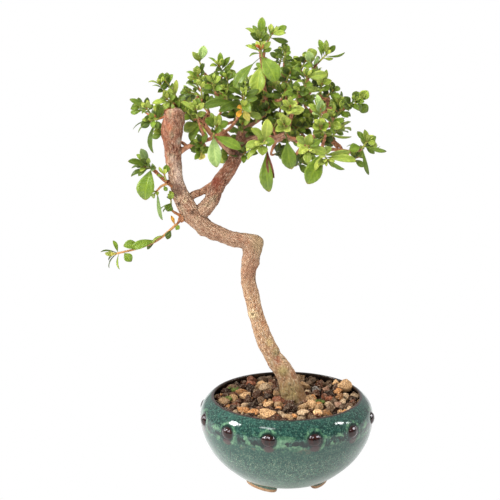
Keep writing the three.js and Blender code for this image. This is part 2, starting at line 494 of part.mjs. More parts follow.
// A woody twig from the nearest fitting place on a bough to just short of its shoot
function twig(shoot, places) {
  const base = vector(shoot.base);
  const heading = vector(stemPoints(shoot)[1]).sub(base).normalize();
  const end = base.clone().addScaledVector(heading, -GAP);
  const cost = ({ point }) => point.distanceTo(end) + 0.5 * Math.max(0, point.z - end.z + 8);
  const start = places.reduce((best, place) => (cost(place) < cost(best) ? place : best));
  const reach = start.point.distanceTo(end);
  const lead = start.point.clone().lerp(end, 0.35).addScaledVector(UP, 0.08 * reach);
  const follow = end.clone().addScaledVector(heading, -0.35 * reach);
  const curve = new THREE.CubicBezierCurve3(start.point, lead, follow, end);
  const steps = reach < 20 ? 1 : 2;
  const rootRadius = Math.min(start.radius * 0.85, TWIG_RADIUS.root);
  const points = [];
  for (let i = 0; i < steps; i += 1) {
    const spot = curve.getPoint(i / steps);
    points.push([...spot, THREE.MathUtils.lerp(rootRadius, TWIG_RADIUS.tip, i / steps)]);
  }
  const collar = end.clone().addScaledVector(heading, -Math.min(2, 0.3 * reach));
  points.push([...collar, TWIG_RADIUS.tip], [...end, TWIG_RADIUS.tip]);
  return points;
}

// One body of wood; the slightly grown copies of its limbs keep the leaves clear of it
function wood(shoots) {
  const places = sproutPlaces();
  const twigs = shoots.map((shoot) => twig(shoot, places));
  const build = (extra) => [
    limb(TRUNK, 8, TRUNK.length - 1, extra),
    limb(LIMB, 7, LIMB.length - 1, extra),
    ...BOUGHS.map((points) => limb(points, 5, points.length - 1, extra)),
    ...twigs.map((points) => limb(points, 3, points.length - 1, extra)),
  ];
  return { shape: joined(build(0)), grown: build(0.3) };
}

// Leaves of a shoot on the far side: a spiral that opens from the growing tip
function spiralLeaves(shoot, number) {
  const draw = seeded(500 + number);
  const axis = vector(shoot.top).sub(vector(shoot.base)).normalize();
  const side = new THREE.Vector3().crossVectors(axis, UP).normalize();
  const leaves = [];
  for (let i = 0; i < BACK_LEAF.count; i += 1) {
    const share = (i + 1) / BACK_LEAF.count;
    const turn = i * GOLDEN_ANGLE + draw();
    const opening = radians(85 - 50 * share);
    const heading = side.clone().applyAxisAngle(axis, turn).multiplyScalar(Math.sin(opening));
    heading.addScaledVector(axis, Math.cos(opening));
    const tip = vector(shoot.base).lerp(vector(shoot.top), share);
    tip.addScaledVector(heading, BACK_LEAF.length * (1.1 - 0.35 * share));
    leaves.push([share, tip.x, tip.y, tip.z, BACK_LEAF.width * (0.9 + 0.3 * draw()), 30 * draw() - 15]);
  }
  return leaves;
}

function cross(shape, other) {
  const own = shape.boundingBox();
  const box = other.boundingBox();
  const apart = [0, 1, 2].some((k) => own.min[k] > box.max[k] || own.max[k] < box.min[k]);
  return !apart && !shape.intersect(other).isEmpty();
}

function stemOf(shoot, extra) {
  const points = stemPoints(shoot);
  const steps = points.length - 1;
  const thick = (i) => THREE.MathUtils.lerp(STEM_RADIUS.root, STEM_RADIUS.tip, i / steps) + extra;
  return limb(points.map((point, i) => [...point, thick(i)]), 4, steps);
}

// A green stem with its leaves fused to it, cut back where it would touch the wood. A leaf that
// would cross another node leans out in small steps until it is clear, or else is left out.
function leafyShoot(shoot, facing, woods, others) {
  const least = shoot.via ? 0.03 : 0.15;
  const touching = [...woods, ...others].filter((limbShape) => cross(stemOf(shoot, 0), limbShape));
  const pieces = [stemOf(shoot, 0)];
  shoot.leaves.forEach(([share, x, y, z, width, roll]) => {
    const place = THREE.MathUtils.clamp(share, least, 0.95);
    const root = along(stemPoints(shoot), place).point;
    const clear = (tip) => {
      const test = leaf(root, tip, width, roll, facing, 0.2);
      return ![...woods, ...others].some((other) => !touching.includes(other) && cross(test, other));
    };
    const tips = LEANS.map((lean) => new THREE.Vector3(x, y, z).addScaledVector(facing, lean));
    const tip = tips.find(clear);
    if (tip) {
      pieces.push(leaf(root, tip, width, roll, facing));
    }
  });
  const bodies = joined(pieces).subtract(joined(touching)).decompose();
  const shape = bodies.reduce((most, body) => (body.volume() > most.volume() ? body : most));
  return { shape, pieces };
}

const MATERIALS = {
  pot: new THREE.MeshStandardMaterial({ color: 0x1f5248, roughness: 0.15 }),
  screen: new THREE.MeshStandardMaterial({ color: 0x1c1c1c, roughness: 0.6 }),
  soil: new THREE.MeshStandardMaterial({ color: 0x8a6a48, roughness: 0.95 }),
  wood: new THREE.MeshStandardMaterial({ color: 0xa07d60, roughness: 0.9 }),
  leaf: new THREE.MeshStandardMaterial({ color: 0x557a26, roughness: 0.5, side: THREE.DoubleSide }),
};

const bonsai = new THREE.Group();

function add(name, shape, material) {
  const mesh = new THREE.Mesh(geometryOf(shape), material);
  mesh.name = name;
  bonsai.add(mesh);
}

const shoots = [
  ...FRONT_SHOOTS,
  ...BACK_SHOOTS.map((shoot, i) => ({ ...shoot, leaves: spiralLeaves(shoot, i) })),
];
const tree = wood(shoots);
add('pot', pot(), MATERIALS.pot);
add('drain_screen', drainScreen(), MATERIALS.screen);
add('soil', soil(), MATERIALS.soil);
add('trunk', tree.shape, MATERIALS.wood);

const stems = shoots.map((shoot) => stemOf(shoot, GAP));
const leavesSoFar = [];
shoots.forEach((shoot, i) => {
  const behind = i >= FRONT_SHOOTS.length;
  const facing = behind ? new THREE.Vector3(0, 0.5, 0.85) : new THREE.Vector3(0, -0.9, 0.45);
  const otherStems = stems.filter((stem, k) => k !== i);
  const grown = leafyShoot(shoot, facing.normalize(), tree.grown, [...otherStems, ...leavesSoFar]);
  leavesSoFar.push(...grown.pieces);
  add(`shoot_${String(i + 1).padStart(2, '0')}`, grown.shape, MATERIALS.leaf);
});

// The origin goes to the bottom centre of the whole object's bounding box
const box = new THREE.Box3().setFromObject(bonsai, true);
const centre = box.getCenter(new THREE.Vector3());
bonsai.position.set(-centre.x, -centre.y, -box.min.z);
bonsai.updateMatrixWorld(true);

export default bonsai;
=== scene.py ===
import math

import bmesh
import bpy
import numpy as np
from mathutils import Matrix, Vector, noise


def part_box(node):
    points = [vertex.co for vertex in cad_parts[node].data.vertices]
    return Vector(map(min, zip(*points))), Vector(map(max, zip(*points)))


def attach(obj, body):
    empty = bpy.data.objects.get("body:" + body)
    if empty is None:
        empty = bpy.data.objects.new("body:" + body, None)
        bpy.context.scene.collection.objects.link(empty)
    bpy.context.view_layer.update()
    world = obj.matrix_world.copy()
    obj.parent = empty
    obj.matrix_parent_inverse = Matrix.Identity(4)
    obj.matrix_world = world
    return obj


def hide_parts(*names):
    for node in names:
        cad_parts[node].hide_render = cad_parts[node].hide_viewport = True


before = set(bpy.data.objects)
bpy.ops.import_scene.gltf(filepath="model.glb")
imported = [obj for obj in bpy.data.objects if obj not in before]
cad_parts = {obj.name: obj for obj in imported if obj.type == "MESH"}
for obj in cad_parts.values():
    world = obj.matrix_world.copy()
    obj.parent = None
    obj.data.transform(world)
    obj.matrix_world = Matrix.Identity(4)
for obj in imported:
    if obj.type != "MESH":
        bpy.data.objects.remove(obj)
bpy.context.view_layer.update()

# Camera. It stands 1.3 m in front of the bowl and higher than the top of the tree, and looks down
# on the gravel at a shallow angle.
MM = 0.001
pot_low, pot_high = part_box("pot")
BOWL_AXIS = Vector(((pot_low.x + pot_high.x) / 2, (pot_low.y + pot_high.y) / 2, 0))
BOWL_X = -1.3


def spot(x, y, z):
    """A place in millimetres, measured from the point on the table that the tree is drawn from."""
    return BOWL_AXIS + Vector((x - BOWL_X, y, z)) * MM


camera_data = bpy.data.cameras.new("camera")
camera_data.sensor_width = 36
camera_data.lens = 109.44
camera_data.clip_start = 0.1
camera = bpy.data.objects.new("camera", camera_data)
camera.location = spot(-34.4, -1305, 528)
camera.rotation_euler = (math.radians(90 - 13.5), 0, 0)
bpy.context.scene.collection.objects.link(camera)
bpy.context.scene.camera = camera


# Studio. A white sweep that the camera sees as pure white, and six soft boxes. Those overhead and in
# front only give light; the others, left, right and above, also stand as reflections on the glaze.
bpy.context.scene.view_settings.view_transform = "Standard"


def srgb(red, green, blue):
    """A colour as it is seen on a screen, 0 to 255, as the amounts of light that make it."""
    return tuple(
        (c / 255 / 12.92 if c < 10.3 else ((c / 255 + 0.055) / 1.055) ** 2.4) for c in (red, green, blue)
    ) + (1.0,)


world = bpy.data.worlds.new("studio")
bpy.context.scene.world = world
world.use_nodes = True
sky = world.node_tree
sky.nodes["Background"].inputs["Color"].default_value = (1, 1, 1, 1)
sky.nodes["Background"].inputs["Strength"].default_value = 1.0
dim = sky.nodes.new("ShaderNodeBackground")
towards = sky.nodes.new("ShaderNodeTexCoord")
parts = sky.nodes.new("ShaderNodeSeparateXYZ")
shade = sky.nodes.new("ShaderNodeMapRange")
seen = sky.nodes.new("ShaderNodeLightPath")
choose = sky.nodes.new("ShaderNodeMixShader")
sky.links.new(towards.outputs["Generated"], parts.inputs[0])
sky.links.new(parts.outputs["Y"], shade.inputs["Value"])
for key, value in {"From Min": -0.5, "From Max": 0.3, "To Min": 0.22, "To Max": 0.75}.items():
    shade.inputs[key].default_value = value
sky.links.new(shade.outputs[0], dim.inputs["Strength"])
sky.links.new(seen.outputs["Is Camera Ray"], choose.inputs[0])
sky.links.new(dim.outputs[0], choose.inputs[1])
sky.links.new(sky.nodes["Background"].outputs[0], choose.inputs[2])
sky.links.new(choose.outputs[0], sky.nodes["World Output"].inputs[0])


def soft_box(name, place, aim, size, power, mirrored=True):
    light = bpy.data.lights.new(name, "AREA")
    light.shape = "RECTANGLE"
    light.size, light.size_y = size
    light.energy = power
    lamp = bpy.data.objects.new(name, light)
    lamp.location = place
    lamp.rotation_euler = (aim - lamp.location).to_track_quat("-Z", "Y").to_euler()
    lamp.visible_glossy = mirrored
    bpy.context.scene.collection.objects.link(lamp)


soft_box("overhead", spot(-100, -300, 1300), spot(0, 0, 200), (0.7, 0.6), 16, mirrored=False)
soft_box("left", spot(-1400, -150, 1030), spot(0, 0, 150), (0.34, 0.42), 20)
soft_box("right", spot(1340, -110, 1080), spot(0, 0, 150), (0.12, 0.26), 6)
soft_box("far_right", spot(1530, 65, 800), spot(0, 0, 150), (0.08, 0.16), 2)
soft_box("strip", spot(-520, -790, 1300), spot(0, 0, 150), (0.42, 0.16), 2.5)
soft_box("front", spot(-700, -1250, 700), spot(-30, 0, 200), (0.5, 0.5), 17, mirrored=False)

bm = bmesh.new()
bmesh.ops.create_grid(bm, x_segments=1, y_segments=1, size=12)
floor_mesh = bpy.data.meshes.new("floor")
bm.to_mesh(floor_mesh)
bm.free()
floor = bpy.data.objects.new("floor", floor_mesh)
bpy.context.scene.collection.objects.link(floor)
white = bpy.data.materials.new("white_sweep")
white.use_nodes = True
sweep = white.node_tree
paint = sweep.nodes["Principled BSDF"]
paint.inputs["Base Color"].default_value = (0.5, 0.5, 0.5, 1)
paint.inputs["Roughness"].default_value = 1.0
lit = sweep.nodes.new("ShaderNodeEmission")
lit.inputs["Strength"].default_value = 1.0
glow = sweep.nodes.new("ShaderNodeEmission")
glow.inputs["Strength"].default_value = 0.6
seen = sweep.nodes.new("ShaderNodeLightPath")
choose = sweep.nodes.new("ShaderNodeMixShader")
blend = sweep.nodes.new("ShaderNodeAddShader")
sweep.links.new(seen.outputs["Is Camera Ray"], choose.inputs[0])
sweep.links.new(paint.outputs[0], blend.inputs[0])
sweep.links.new(glow.outputs[0], blend.inputs[1])
sweep.links.new(blend.outputs[0], choose.inputs[1])
sweep.links.new(lit.outputs[0], choose.inputs[2])
sweep.links.new(choose.outputs[0], sweep.nodes["Material Output"].inputs["Surface"])
floor_mesh.materials.append(white)


# Bowl. A thrown stoneware bowl with a swelling shoulder and a small rolled lip. A dark green glaze
# is poured over its shoulder and breaks into bright green where it ends on the paler body glaze.
STUD_HEIGHT = 64
STUD_PITCH = 30
STUD_TURN = 2
BELT_RADIUS = 78


class Tone:
    """One output of a material's nodes. Sums on tones add Math nodes."""

    def __init__(self, tree, socket):
        self.tree, self.socket = tree, socket

    def node(self, kind, values, output=0, stops=(), **settings):
        """Any other node: its settings and the stops of its ramp first, then its sockets."""
        made = self.tree.nodes.new(kind)
        for name, setting in settings.items():
            setattr(made, name, setting)
        if stops:
            ramp = made.color_ramp.elements
            ramp[0].position, ramp[1].position = stops[0][0], stops[-1][0]
            for place, _ in stops[1:-1]:
                ramp.new(place)
            for element, (_, colour) in zip(ramp, stops):
                element.color = colour
        for key, value in values.items():
            if isinstance(value, Tone):
                self.tree.links.new(value.socket, made.inputs[key])
            else:
                made.inputs[key].default_value = value
        return Tone(self.tree, made.outputs[output])

    def sum(self, operation, *values):
        return self.node("ShaderNodeMath", dict(enumerate(values)), operation=operation)

    def __add__(self, other):
        return self.sum("ADD", self, other)

    def __sub__(self, other):
        return self.sum("SUBTRACT", self, other)

    def __rsub__(self, other):
        return self.sum("SUBTRACT", other, self)

    def __mul__(self, other):
        return self.sum("MULTIPLY", self, other)

    def __truediv__(self, other):
        return self.sum("DIVIDE", self, other)

    def __pow__(self, other):
        return self.sum("POWER", self, other)

    def __abs__(self):
        return self.sum("ABSOLUTE", self)

    __radd__ = __add__
    __rmul__ = __mul__

    def rise(self, low, high):
        """0 below low, 1 above high, and smooth between."""
        values = {0: self, 1: low, 2: high, 3: 0.0, 4: 1.0}
        return self.node("ShaderNodeMapRange", values, interpolation_type="SMOOTHSTEP")

    def near(self, centre, full, none):
        """1 within full of the centre, and 0 past none."""
        return 1 - abs(self - centre).rise(full, none)

    def axes(self):
        return [self.node("ShaderNodeSeparateXYZ", {0: self}, output=k) for k in range(3)]

    def cloud(self, size, detail=2.0, rough=0.5, shift=0.0):
        """Soft noise whose lumps are about as large as size."""
        moved = self.node("ShaderNodeVectorMath", {0: self, 1: (shift, shift, shift)}, operation="ADD")
        values = {"Vector": moved, "Scale": 1 / size, "Detail": detail, "Roughness": rough}
        return self.node("ShaderNodeTexNoise", values)

    def cells(self, size):
        """How far it is to the crack between cells about as large as size, in cell widths."""
        warp = self.cloud(size * 0.8, 2, 0.6, 70)
        moved = self.node("ShaderNodeVectorMath", {0: self, 1: warp}, operation="ADD")
        values = {"Vector": moved, "Scale": 1 / size}
        return self.node("ShaderNodeTexVoronoi", values, feature="DISTANCE_TO_EDGE")

    def stretched(self, x, y, z):
        return self.node("ShaderNodeMapping", {"Vector": self, "Scale": (x, y, z)})

    def over(self, below, above):
        """Colour below where this tone is 0, and colour above where it is 1."""
        values = {0: self, 6: below, 7: above}
        return self.node("ShaderNodeMix", values, output=2, data_type="RGBA")

    def tinted(self, by):
        """This colour times another colour or tone."""
        values = {0: 1.0, 6: self, 7: by}
        return self.node("ShaderNodeMix", values, output=2, data_type="RGBA", blend_type="MULTIPLY")

    def bump(self, depth):
        """This height as a bump whose full step is depth metres."""
        return self.node("ShaderNodeBump", {"Strength": 1.0, "Distance": depth, "Height": self})

    def feed(self, name):
        shader = self.tree.nodes["Principled BSDF"]
        self.tree.links.new(self.socket, shader.inputs[name])


def finish(name, **constants):
    """A new material, and its place on the surface in millimetres from the bowl's axis."""
    material = bpy.data.materials.new(name)
    material.use_nodes = True
    tree = material.node_tree
    for key, value in constants.items():
        tree.nodes["Principled BSDF"].inputs[key.replace("_", " ")].default_value = value
    coordinates = Tone(tree, tree.nodes.new("ShaderNodeTexCoord").outputs["Object"])
    shift = tuple(-c / MM for c in BOWL_AXIS)
    where = coordinates.node(
        "ShaderNodeMapping",
        {"Vector": coordinates, "Location": shift, "Scale": (1 / MM, 1 / MM, 1 / MM)},
    )
    return material, where


def piece(name, bm, materials, slot, *nodes):
    """A finished mesh as an object that rides on the pot's body and stands for CAD nodes."""
    mesh = bpy.data.meshes.new(name)
    bm.to_mesh(mesh)
    bm.free()
    for material in materials:
        mesh.materials.append(material)
    mesh.shade_smooth()
    made = bpy.data.objects.new(name, mesh)
    bpy.context.scene.collection.objects.link(made)
    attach(made, "root")
    if nodes:
        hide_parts(*nodes)
    return made


def thrown(bm, section, steps):
    """A shape turned round the bowl's axis from a closed or axis-to-axis section."""
    verts = [bm.verts.new(BOWL_AXIS + Vector((radius, 0, height)) * MM) for radius, height in section]
    edges = [bm.edges.new(pair) for pair in zip(verts, verts[1:])]
    bmesh.ops.spin(
        bm, geom=verts + edges, cent=BOWL_AXIS, axis=(0, 0, 1), angle=math.tau, steps=steps, use_merge=True
    )
    bmesh.ops.remove_doubles(bm, verts=bm.verts, dist=1e-6)
    bmesh.ops.recalc_face_normals(bm, faces=bm.faces)


def smoothed(made, levels):
    """Subdivision that rounds a coarse cage."""
    modifier = made.modifiers.new("rounded", "SUBSURF")
    modifier.levels = modifier.render_levels = levels
    return made


# Radius and height along the section. The radii began as the result of a seeded search.
BOWL_SECTION = [
    (7, 5), (22, 5), (37, 5), (42, 6.4), (47.7, 10.2), (57.3, 18), (65.1, 26), (70.4, 34), (74.5, 42),
    (77.1, 50), (78.4, 58), (78.5, 65), (77, 70.6), (74.3, 74.8), (70.8, 78.2), (68.2, 80), (66.5, 80.4),
    (65.5, 79.4), (66.6, 77), (69.2, 73.4), (71.4, 69), (72.9, 63), (72.8, 56), (71.6, 49), (68.6, 41),
    (64.4, 33), (59, 26), (52, 19), (44, 14), (36, 11.2), (21, 11), (7, 11), (7, 5),
]
bm = bmesh.new()
thrown(bm, BOWL_SECTION, 48)
for face in bm.faces:
    middle = face.calc_center_median() - BOWL_AXIS
    inward = face.normal.x * middle.x + face.normal.y * middle.y < 0
    face.material_index = int(inward or middle.z < 12 * MM and middle.xy.length < 36 * MM)

glaze, where = finish("bowl_glaze", IOR=1.5, Coat_Weight=0.0)
x, y, z = where.axes()
turn = (x.sum("ARCTAN2", y, x) / math.radians(1) - STUD_TURN) / STUD_PITCH
along_belt = (turn.sum("FRACT", turn) - 0.5) * (BELT_RADIUS * math.radians(STUD_PITCH))
off_belt = z - STUD_HEIGHT
from_stud = (along_belt * along_belt + off_belt * off_belt) ** 0.5
ragged = where.cloud(6, 4, 0.65)
broad = where.cloud(26, 2, 0.5, 12)
edge = z - 52.5 - 8.0 * ragged - 3.0 * broad + 2.6 * from_stud.near(0, 5, 12)
shoulder = edge.rise(-0.6, 0.6)
fleck = where.stretched(1, 1, 0.7).cloud(1.5, 3, 0.7)
fine = where.cloud(0.95, 2, 0.7, 17)
mottle = where.cloud(4, 4, 0.65, 30)
drift = where.cloud(22, 2, 0.5, 60)
dark = fleck.rise(0.48, 0.62).over(srgb(22, 44, 40), srgb(52, 86, 76))
dark = (mottle.rise(0.4, 0.75) * 0.7).over(dark, srgb(36, 78, 66))
dark = (fine.rise(0.58, 0.68) * fleck.rise(0.42, 0.6)).over(dark, srgb(104, 136, 112))
body = mottle.rise(0.3, 0.7).over(srgb(32, 66, 58), srgb(52, 88, 74))
body = (fleck.rise(0.48, 0.58) * 0.85).over(body, srgb(16, 44, 40))
body = (fine.rise(0.54, 0.64) * mottle.rise(0.3, 0.55) * 0.7).over(body, srgb(142, 158, 130))
body = (drift.rise(0.5, 0.75) * 0.45).over(body, srgb(84, 112, 96))
body = ((1 - z.rise(4, 26)) * 0.55).over(body, srgb(104, 128, 108))
body = (edge.near(-1, 3, 20) * 0.55).over(body, srgb(24, 60, 52))
smoke = edge.near(-3.5, 0.6, 3.5) * drift.rise(0.5, 0.62) * mottle.rise(0.4, 0.6) * 0.8
body = smoke.over(body, srgb(78, 72, 60))
pool = edge.near(3.0, 1.4, 5) * where.cloud(8, 3, 0.6, 77).rise(0.42, 0.52) * 0.9
dark = pool.over(dark, srgb(7, 21, 21))
colour = shoulder.over(body, dark)
swirl = where.cloud(3.4, 3, 0.6, 15)
ring = from_stud.near(8.6, 1.0, 2.4) * swirl.rise(0.42, 0.5)
ring = ring * (off_belt * 0.9 + along_belt * 0.7).rise(-7, 1)
blobs = where.stretched(0.8, 0.8, 1).cloud(7, 3, 0.6, 45).rise(0.54, 0.58)
blobs = blobs * z.rise(57, 60) * (1 - z.rise(67, 70))
fringe = edge.near(-0.6, 1.0, 3.2) * where.cloud(7, 3, 0.6, 45).rise(0.48, 0.56) * 0.85
bright = mottle.rise(0.35, 0.65).over(srgb(44, 82, 62), srgb(98, 134, 102))
broken = (1 - (1 - ring) * (1 - fringe) * (1 - blobs)) * 0.85
colour = (broken * fleck.rise(0.26, 0.4)).over(colour, bright)
moat = (1 - from_stud.rise(7.2, 8.6)) * (off_belt + 3 * ragged).rise(-6, -2) * 0.85
colour = moat.over(colour, srgb(10, 26, 24))
under_stud = ((along_belt / 1.7) ** 2 + (off_belt + 7.4) ** 2) ** 0.5
crescent = (1 - (under_stud + 1.5 * ragged).rise(2.6, 4.4)) * 0.8
colour = crescent.over(colour, srgb(66, 44, 46))
rust = where.cloud(1.1, 2, 0.5, 90).rise(0.77, 0.8) * (1 - shoulder) * z.rise(30, 45)
colour = rust.over(colour, srgb(176, 108, 54))
lip = (z + 0.9 * ragged).rise(79.9, 80.5)
colour = lip.over(colour, srgb(46, 30, 26))
colour.feed("Base Color")
(0.05 + 0.08 * drift + 0.14 * (1 - shoulder) * mottle).feed("Roughness")
(0.5 * where.cloud(6, 2) + 0.05 * fleck + 0.25 * shoulder).bump(0.0004).feed("Normal")

inner_glaze, where = finish("inner_glaze", IOR=1.5, Roughness=0.18)
mottle = where.cloud(5, 4, 0.65)
mottle.rise(0.35, 0.7).over(srgb(22, 20, 18), srgb(56, 42, 32)).feed("Base Color")
where.cloud(3, 2).bump(0.0003).feed("Normal")
smoothed(piece("bowl", bm, [glaze, inner_glaze], "glaze", "pot"), 2)


# Studs. Twelve drum nails round the belly: clay buttons pressed on before firing, from which the
# glaze has run thin, so that they burnt dark red-brown under a glassy skin.
bm = bmesh.new()
STUD_SEAT = 75.4
for k in range(360 // STUD_PITCH):
    azimuth = math.radians((k + 0.5) * STUD_PITCH + STUD_TURN)
    out = Matrix.Translation(BOWL_AXIS) @ Matrix.Rotation(azimuth, 4, "Z")
    out = out @ Matrix.Translation(Vector((STUD_SEAT, 0, STUD_HEIGHT)) * MM)
    shape = Matrix.Diagonal((4.9 * MM, 7.0 * MM, 6.2 * MM, 1))
    bmesh.ops.create_uvsphere(bm, u_segments=24, v_segments=14, radius=1, matrix=out @ shape)
stud_glaze, where = finish("stud_glaze", Roughness=0.09, IOR=1.45)
z = where.axes()[2]
burnt = where.cloud(3, 3, 0.6).rise(0.35, 0.65).over(srgb(14, 7, 6), srgb(46, 19, 14))
burnt = (1 - z.rise(59, 61.5)).over(burnt, srgb(40, 22, 22))
# Painted glint: a pale patch near the top of each stud stands in for a reflection of the studio lights.
painted_glint = z.rise(66.4, 67.4) * (1 - z.rise(68, 69)) * where.cloud(2.2, 2, 0.6, 5).rise(0.5, 0.64) * 0.6
burnt = painted_glint.over(burnt, srgb(206, 200, 208))
burnt.feed("Base Color")
where.cloud(2.5).bump(0.0003).feed("Normal")
piece("bowl_studs", bm, [stud_glaze], "glaze", "pot")


# Feet. Three low pads of tan clay luted on under the bowl. The glaze runs down over them and leaves
# the clay bare where they stand on the table.
bm = bmesh.new()
FOOT_AZIMUTHS = (-47, 73, 193)
for degrees in FOOT_AZIMUTHS:
    azimuth = math.radians(degrees)
    out = Matrix.Translation(BOWL_AXIS) @ Matrix.Rotation(azimuth, 4, "Z")
    out = out @ Matrix.Translation(Vector((0, -31, 4.6)) * MM)
    shape = Matrix.Diagonal((21 * MM, 8 * MM, 9.2 * MM, 1))
    foot = bmesh.ops.create_cone(
        bm, cap_ends=True, segments=32, radius1=0.86, radius2=1, depth=1, matrix=out @ shape
    )
    edges = {edge for vert in foot["verts"] for edge in vert.link_edges}
    rims = [edge for edge in edges if any(len(face.verts) > 4 for face in edge.link_faces)]
    bmesh.ops.bevel(
        bm, geom=rims, offset=1.3 * MM, segments=3, profile=0.5, affect="EDGES", material=-1
    )
clay, where = finish("bare_clay", IOR=1.5)
z = where.axes()[2]
grit = where.cloud(1.2, 3, 0.6)
earth = grit.rise(0.35, 0.7).over(srgb(150, 112, 82), srgb(196, 158, 122))
glazed = (z + 2.5 * where.cloud(6)).rise(4.2, 5)
run_down = grit.rise(0.4, 0.6).over(srgb(34, 66, 56), srgb(86, 110, 92))
glazed.over(earth, run_down).feed("Base Color")
(0.75 - 0.6 * glazed).feed("Roughness")
grit.bump(0.0003).feed("Normal")
piece("bowl_feet", bm, [clay], "glaze", "pot")


# Drain screen. A square of moulded plastic mesh laid over the drain hole before potting, so that
# the soil doesn't run out.
plastic, where = finish("screen_plastic", Roughness=0.5)
where.cloud(2, 3).rise(0.3, 0.8).over(srgb(24, 24, 25), srgb(48, 48, 50)).feed("Base Color")
where.cloud(0.6).bump(0.0001).feed("Normal")
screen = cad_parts["drain_screen"].data.materials
screen.clear()
screen.append(plastic)


# Soil. Potting grit packed to just below the lip and mounded a little towards the trunk; the bed
# is the dark fines between the stones, with the hollows and lumps that watering leaves.
bm = bmesh.new()
SOIL_CENTRE_HEIGHT = 74.6
SOIL_FALL = 3.1
SOIL_REACH = 69.7
SOIL_REAR_RISE = 3
SOIL_SECTION = [
    (0, 13), (36, 13), (52, 20.4), (64, 34.4), (71, 50), (72.2, 57), (70.6, 68.4), (69.4, 71.4), (60, 72),
    (50, 72.4), (40, 72.8), (30, 73.2), (20, 73.7), (10, 74.2), (0, 74.6),
]
thrown(bm, SOIL_SECTION, 64)
top = [vert for vert in bm.verts if vert.co.z > 71 * MM]
for vert in top:
    back = max(0, vert.co.y - BOWL_AXIS.y) / SOIL_REACH
    vert.co.z += SOIL_REAR_RISE * MM * back + noise.noise(vert.co * 140) * 1.4 * MM
fines, where = finish("soil_fines", Roughness=0.95, Specular_IOR_Level=0.15)
grain = where.cloud(1.6, 5, 0.75)
colour = grain.rise(0.35, 0.8).over(srgb(18, 9, 5), srgb(72, 44, 27))
colour.feed("Base Color")
grain.bump(0.0012).feed("Normal")
smoothed(piece("soil_bed", bm, [fines], "gravel", "soil"), 1)


# Gravel. Crushed pumice, baked clay and red lava, from grit to stones of a thumbnail's size, with a
# few flakes of bark. The larger stones were read by eye off the photograph, in pixels that a scratch
# script turned into millimetres, and the rest fill in round them.
PUMICE = srgb(222, 184, 136)
BAKED = srgb(224, 164, 104)
BUFF = srgb(218, 194, 160)
LAVA = srgb(100, 60, 40)
DARK_LAVA = srgb(60, 37, 26)
BARK_CHIP = srgb(124, 100, 78)
SLATE = srgb(150, 150, 148)
RUST = srgb(148, 92, 68)
ROSE = srgb(176, 138, 116)
# x, y, radius across, radius towards the front, height, how far it is heaped up, colour
LAID_STONES = [
    (-50.1, 34, 6.8, 5.6, 4, 0, BARK_CHIP), (-50, 16.3, 5.4, 4.5, 3.2, 0, LAVA),
    (-38.5, 11.9, 5, 4.5, 3.6, 0, PUMICE), (-28, 21.8, 4, 3.8, 3.2, 0, BARK_CHIP),
    (-24.4, 0.3, 4, 4, 3.6, 0, BARK_CHIP), (-17.4, -11.1, 4.5, 4.3, 3.6, 0, PUMICE),
    (-7.3, -2.3, 6.3, 5.4, 4, 0, RUST), (0.2, -25.2, 6.8, 6.1, 4.8, 0, DARK_LAVA),
    (-32.6, -30.2, 5.9, 4.7, 3.2, 0, BAKED), (-18.5, -34.4, 7.7, 6.1, 4, 0, PUMICE),
    (-3.6, -40.5, 3.6, 3.4, 2.8, 0, BUFF), (3.4, -40.5, 3.6, 3.4, 2.8, 0, BAKED),
    (12.4, -32.5, 5.9, 4.7, 3.2, 0, BUFF), (11.6, -3.7, 4.5, 4.3, 3.6, 0, ROSE),
    (20.2, -14.4, 4.5, 5, 4.8, 0, PUMICE), (22.9, 8.8, 3.6, 3.4, 2.8, 0, BAKED),
    (26.2, -31.7, 5, 4.3, 3.2, 0, PUMICE), (36.8, -22.7, 4.5, 5, 4.8, 0, BARK_CHIP),
    (44.6, -10.3, 4, 4, 3.6, 0, ROSE), (37.3, 4.9, 4, 3.8, 3.2, 0, RUST),
    (26.4, 26.4, 4.5, 4.5, 4, 0, SLATE), (35.8, 31, 4, 3.8, 3.2, 0, ROSE),
    (46.5, 24, 4.5, 4, 3.2, 0, BAKED), (53.3, 14.4, 4, 3.8, 3.2, 0, BUFF),
    (53.5, 25.9, 6.3, 6.1, 5.2, 5.6, PUMICE), (45.6, 41.8, 4, 3.8, 3.2, 2.4, PUMICE),
    (59.3, 7.5, 4, 3.8, 3.2, 0, DARK_LAVA), (49.7, -0.7, 3.6, 3.4, 2.8, 0, BUFF),
    (54.4, -11.7, 4, 4, 3.6, 0, BARK_CHIP), (-47.9, -8.4, 5, 4.3, 3.2, 0, LAVA),
    (-40.9, 36.8, 4, 3.8, 3.2, 0, DARK_LAVA), (-33.5, 44.6, 4.5, 4, 3.2, 0, RUST),
    (-23.2, 43.9, 5, 4.3, 3.2, 0, PUMICE), (-13.8, 49.9, 4, 3.6, 2.8, 0, LAVA),
    (-57.2, 14.5, 3.6, 3.6, 3.2, 0, DARK_LAVA), (-17.9, 18.2, 4, 3.8, 3.2, 0, LAVA),
    (-39.8, -10.2, 3.6, 3.4, 2.8, 0, BUFF), (-25.5, -19, 3.6, 3.1, 2.4, 0, LAVA),
    (-9.4, -20.5, 3.6, 3.4, 2.8, 0, BAKED), (30.6, -3.1, 3.6, 3.4, 2.8, 0, LAVA),
    (32.1, 51, 4, 3.6, 2.8, 0, LAVA), (19.7, 43.9, 4, 3.8, 3.2, 0, BARK_CHIP),
    (-9.6, 23.2, 4, 3.8, 3.2, 0, BARK_CHIP), (18.9, 22.2, 3.1, 2.9, 2.4, 0, BUFF),
    (54.4, -20, 3.1, 3.1, 2.8, 0, BUFF),
]
FILL_COLOURS = [PUMICE, BUFF, BAKED, LAVA, LAVA, LAVA, DARK_LAVA, DARK_LAVA, BARK_CHIP, BARK_CHIP, RUST]


def seeded(seed):
    """A repeatable draw of numbers between 0 and 1."""
    state = seed
    while True:
        state = state * 48271 % 2147483647
        yield state / 2147483647


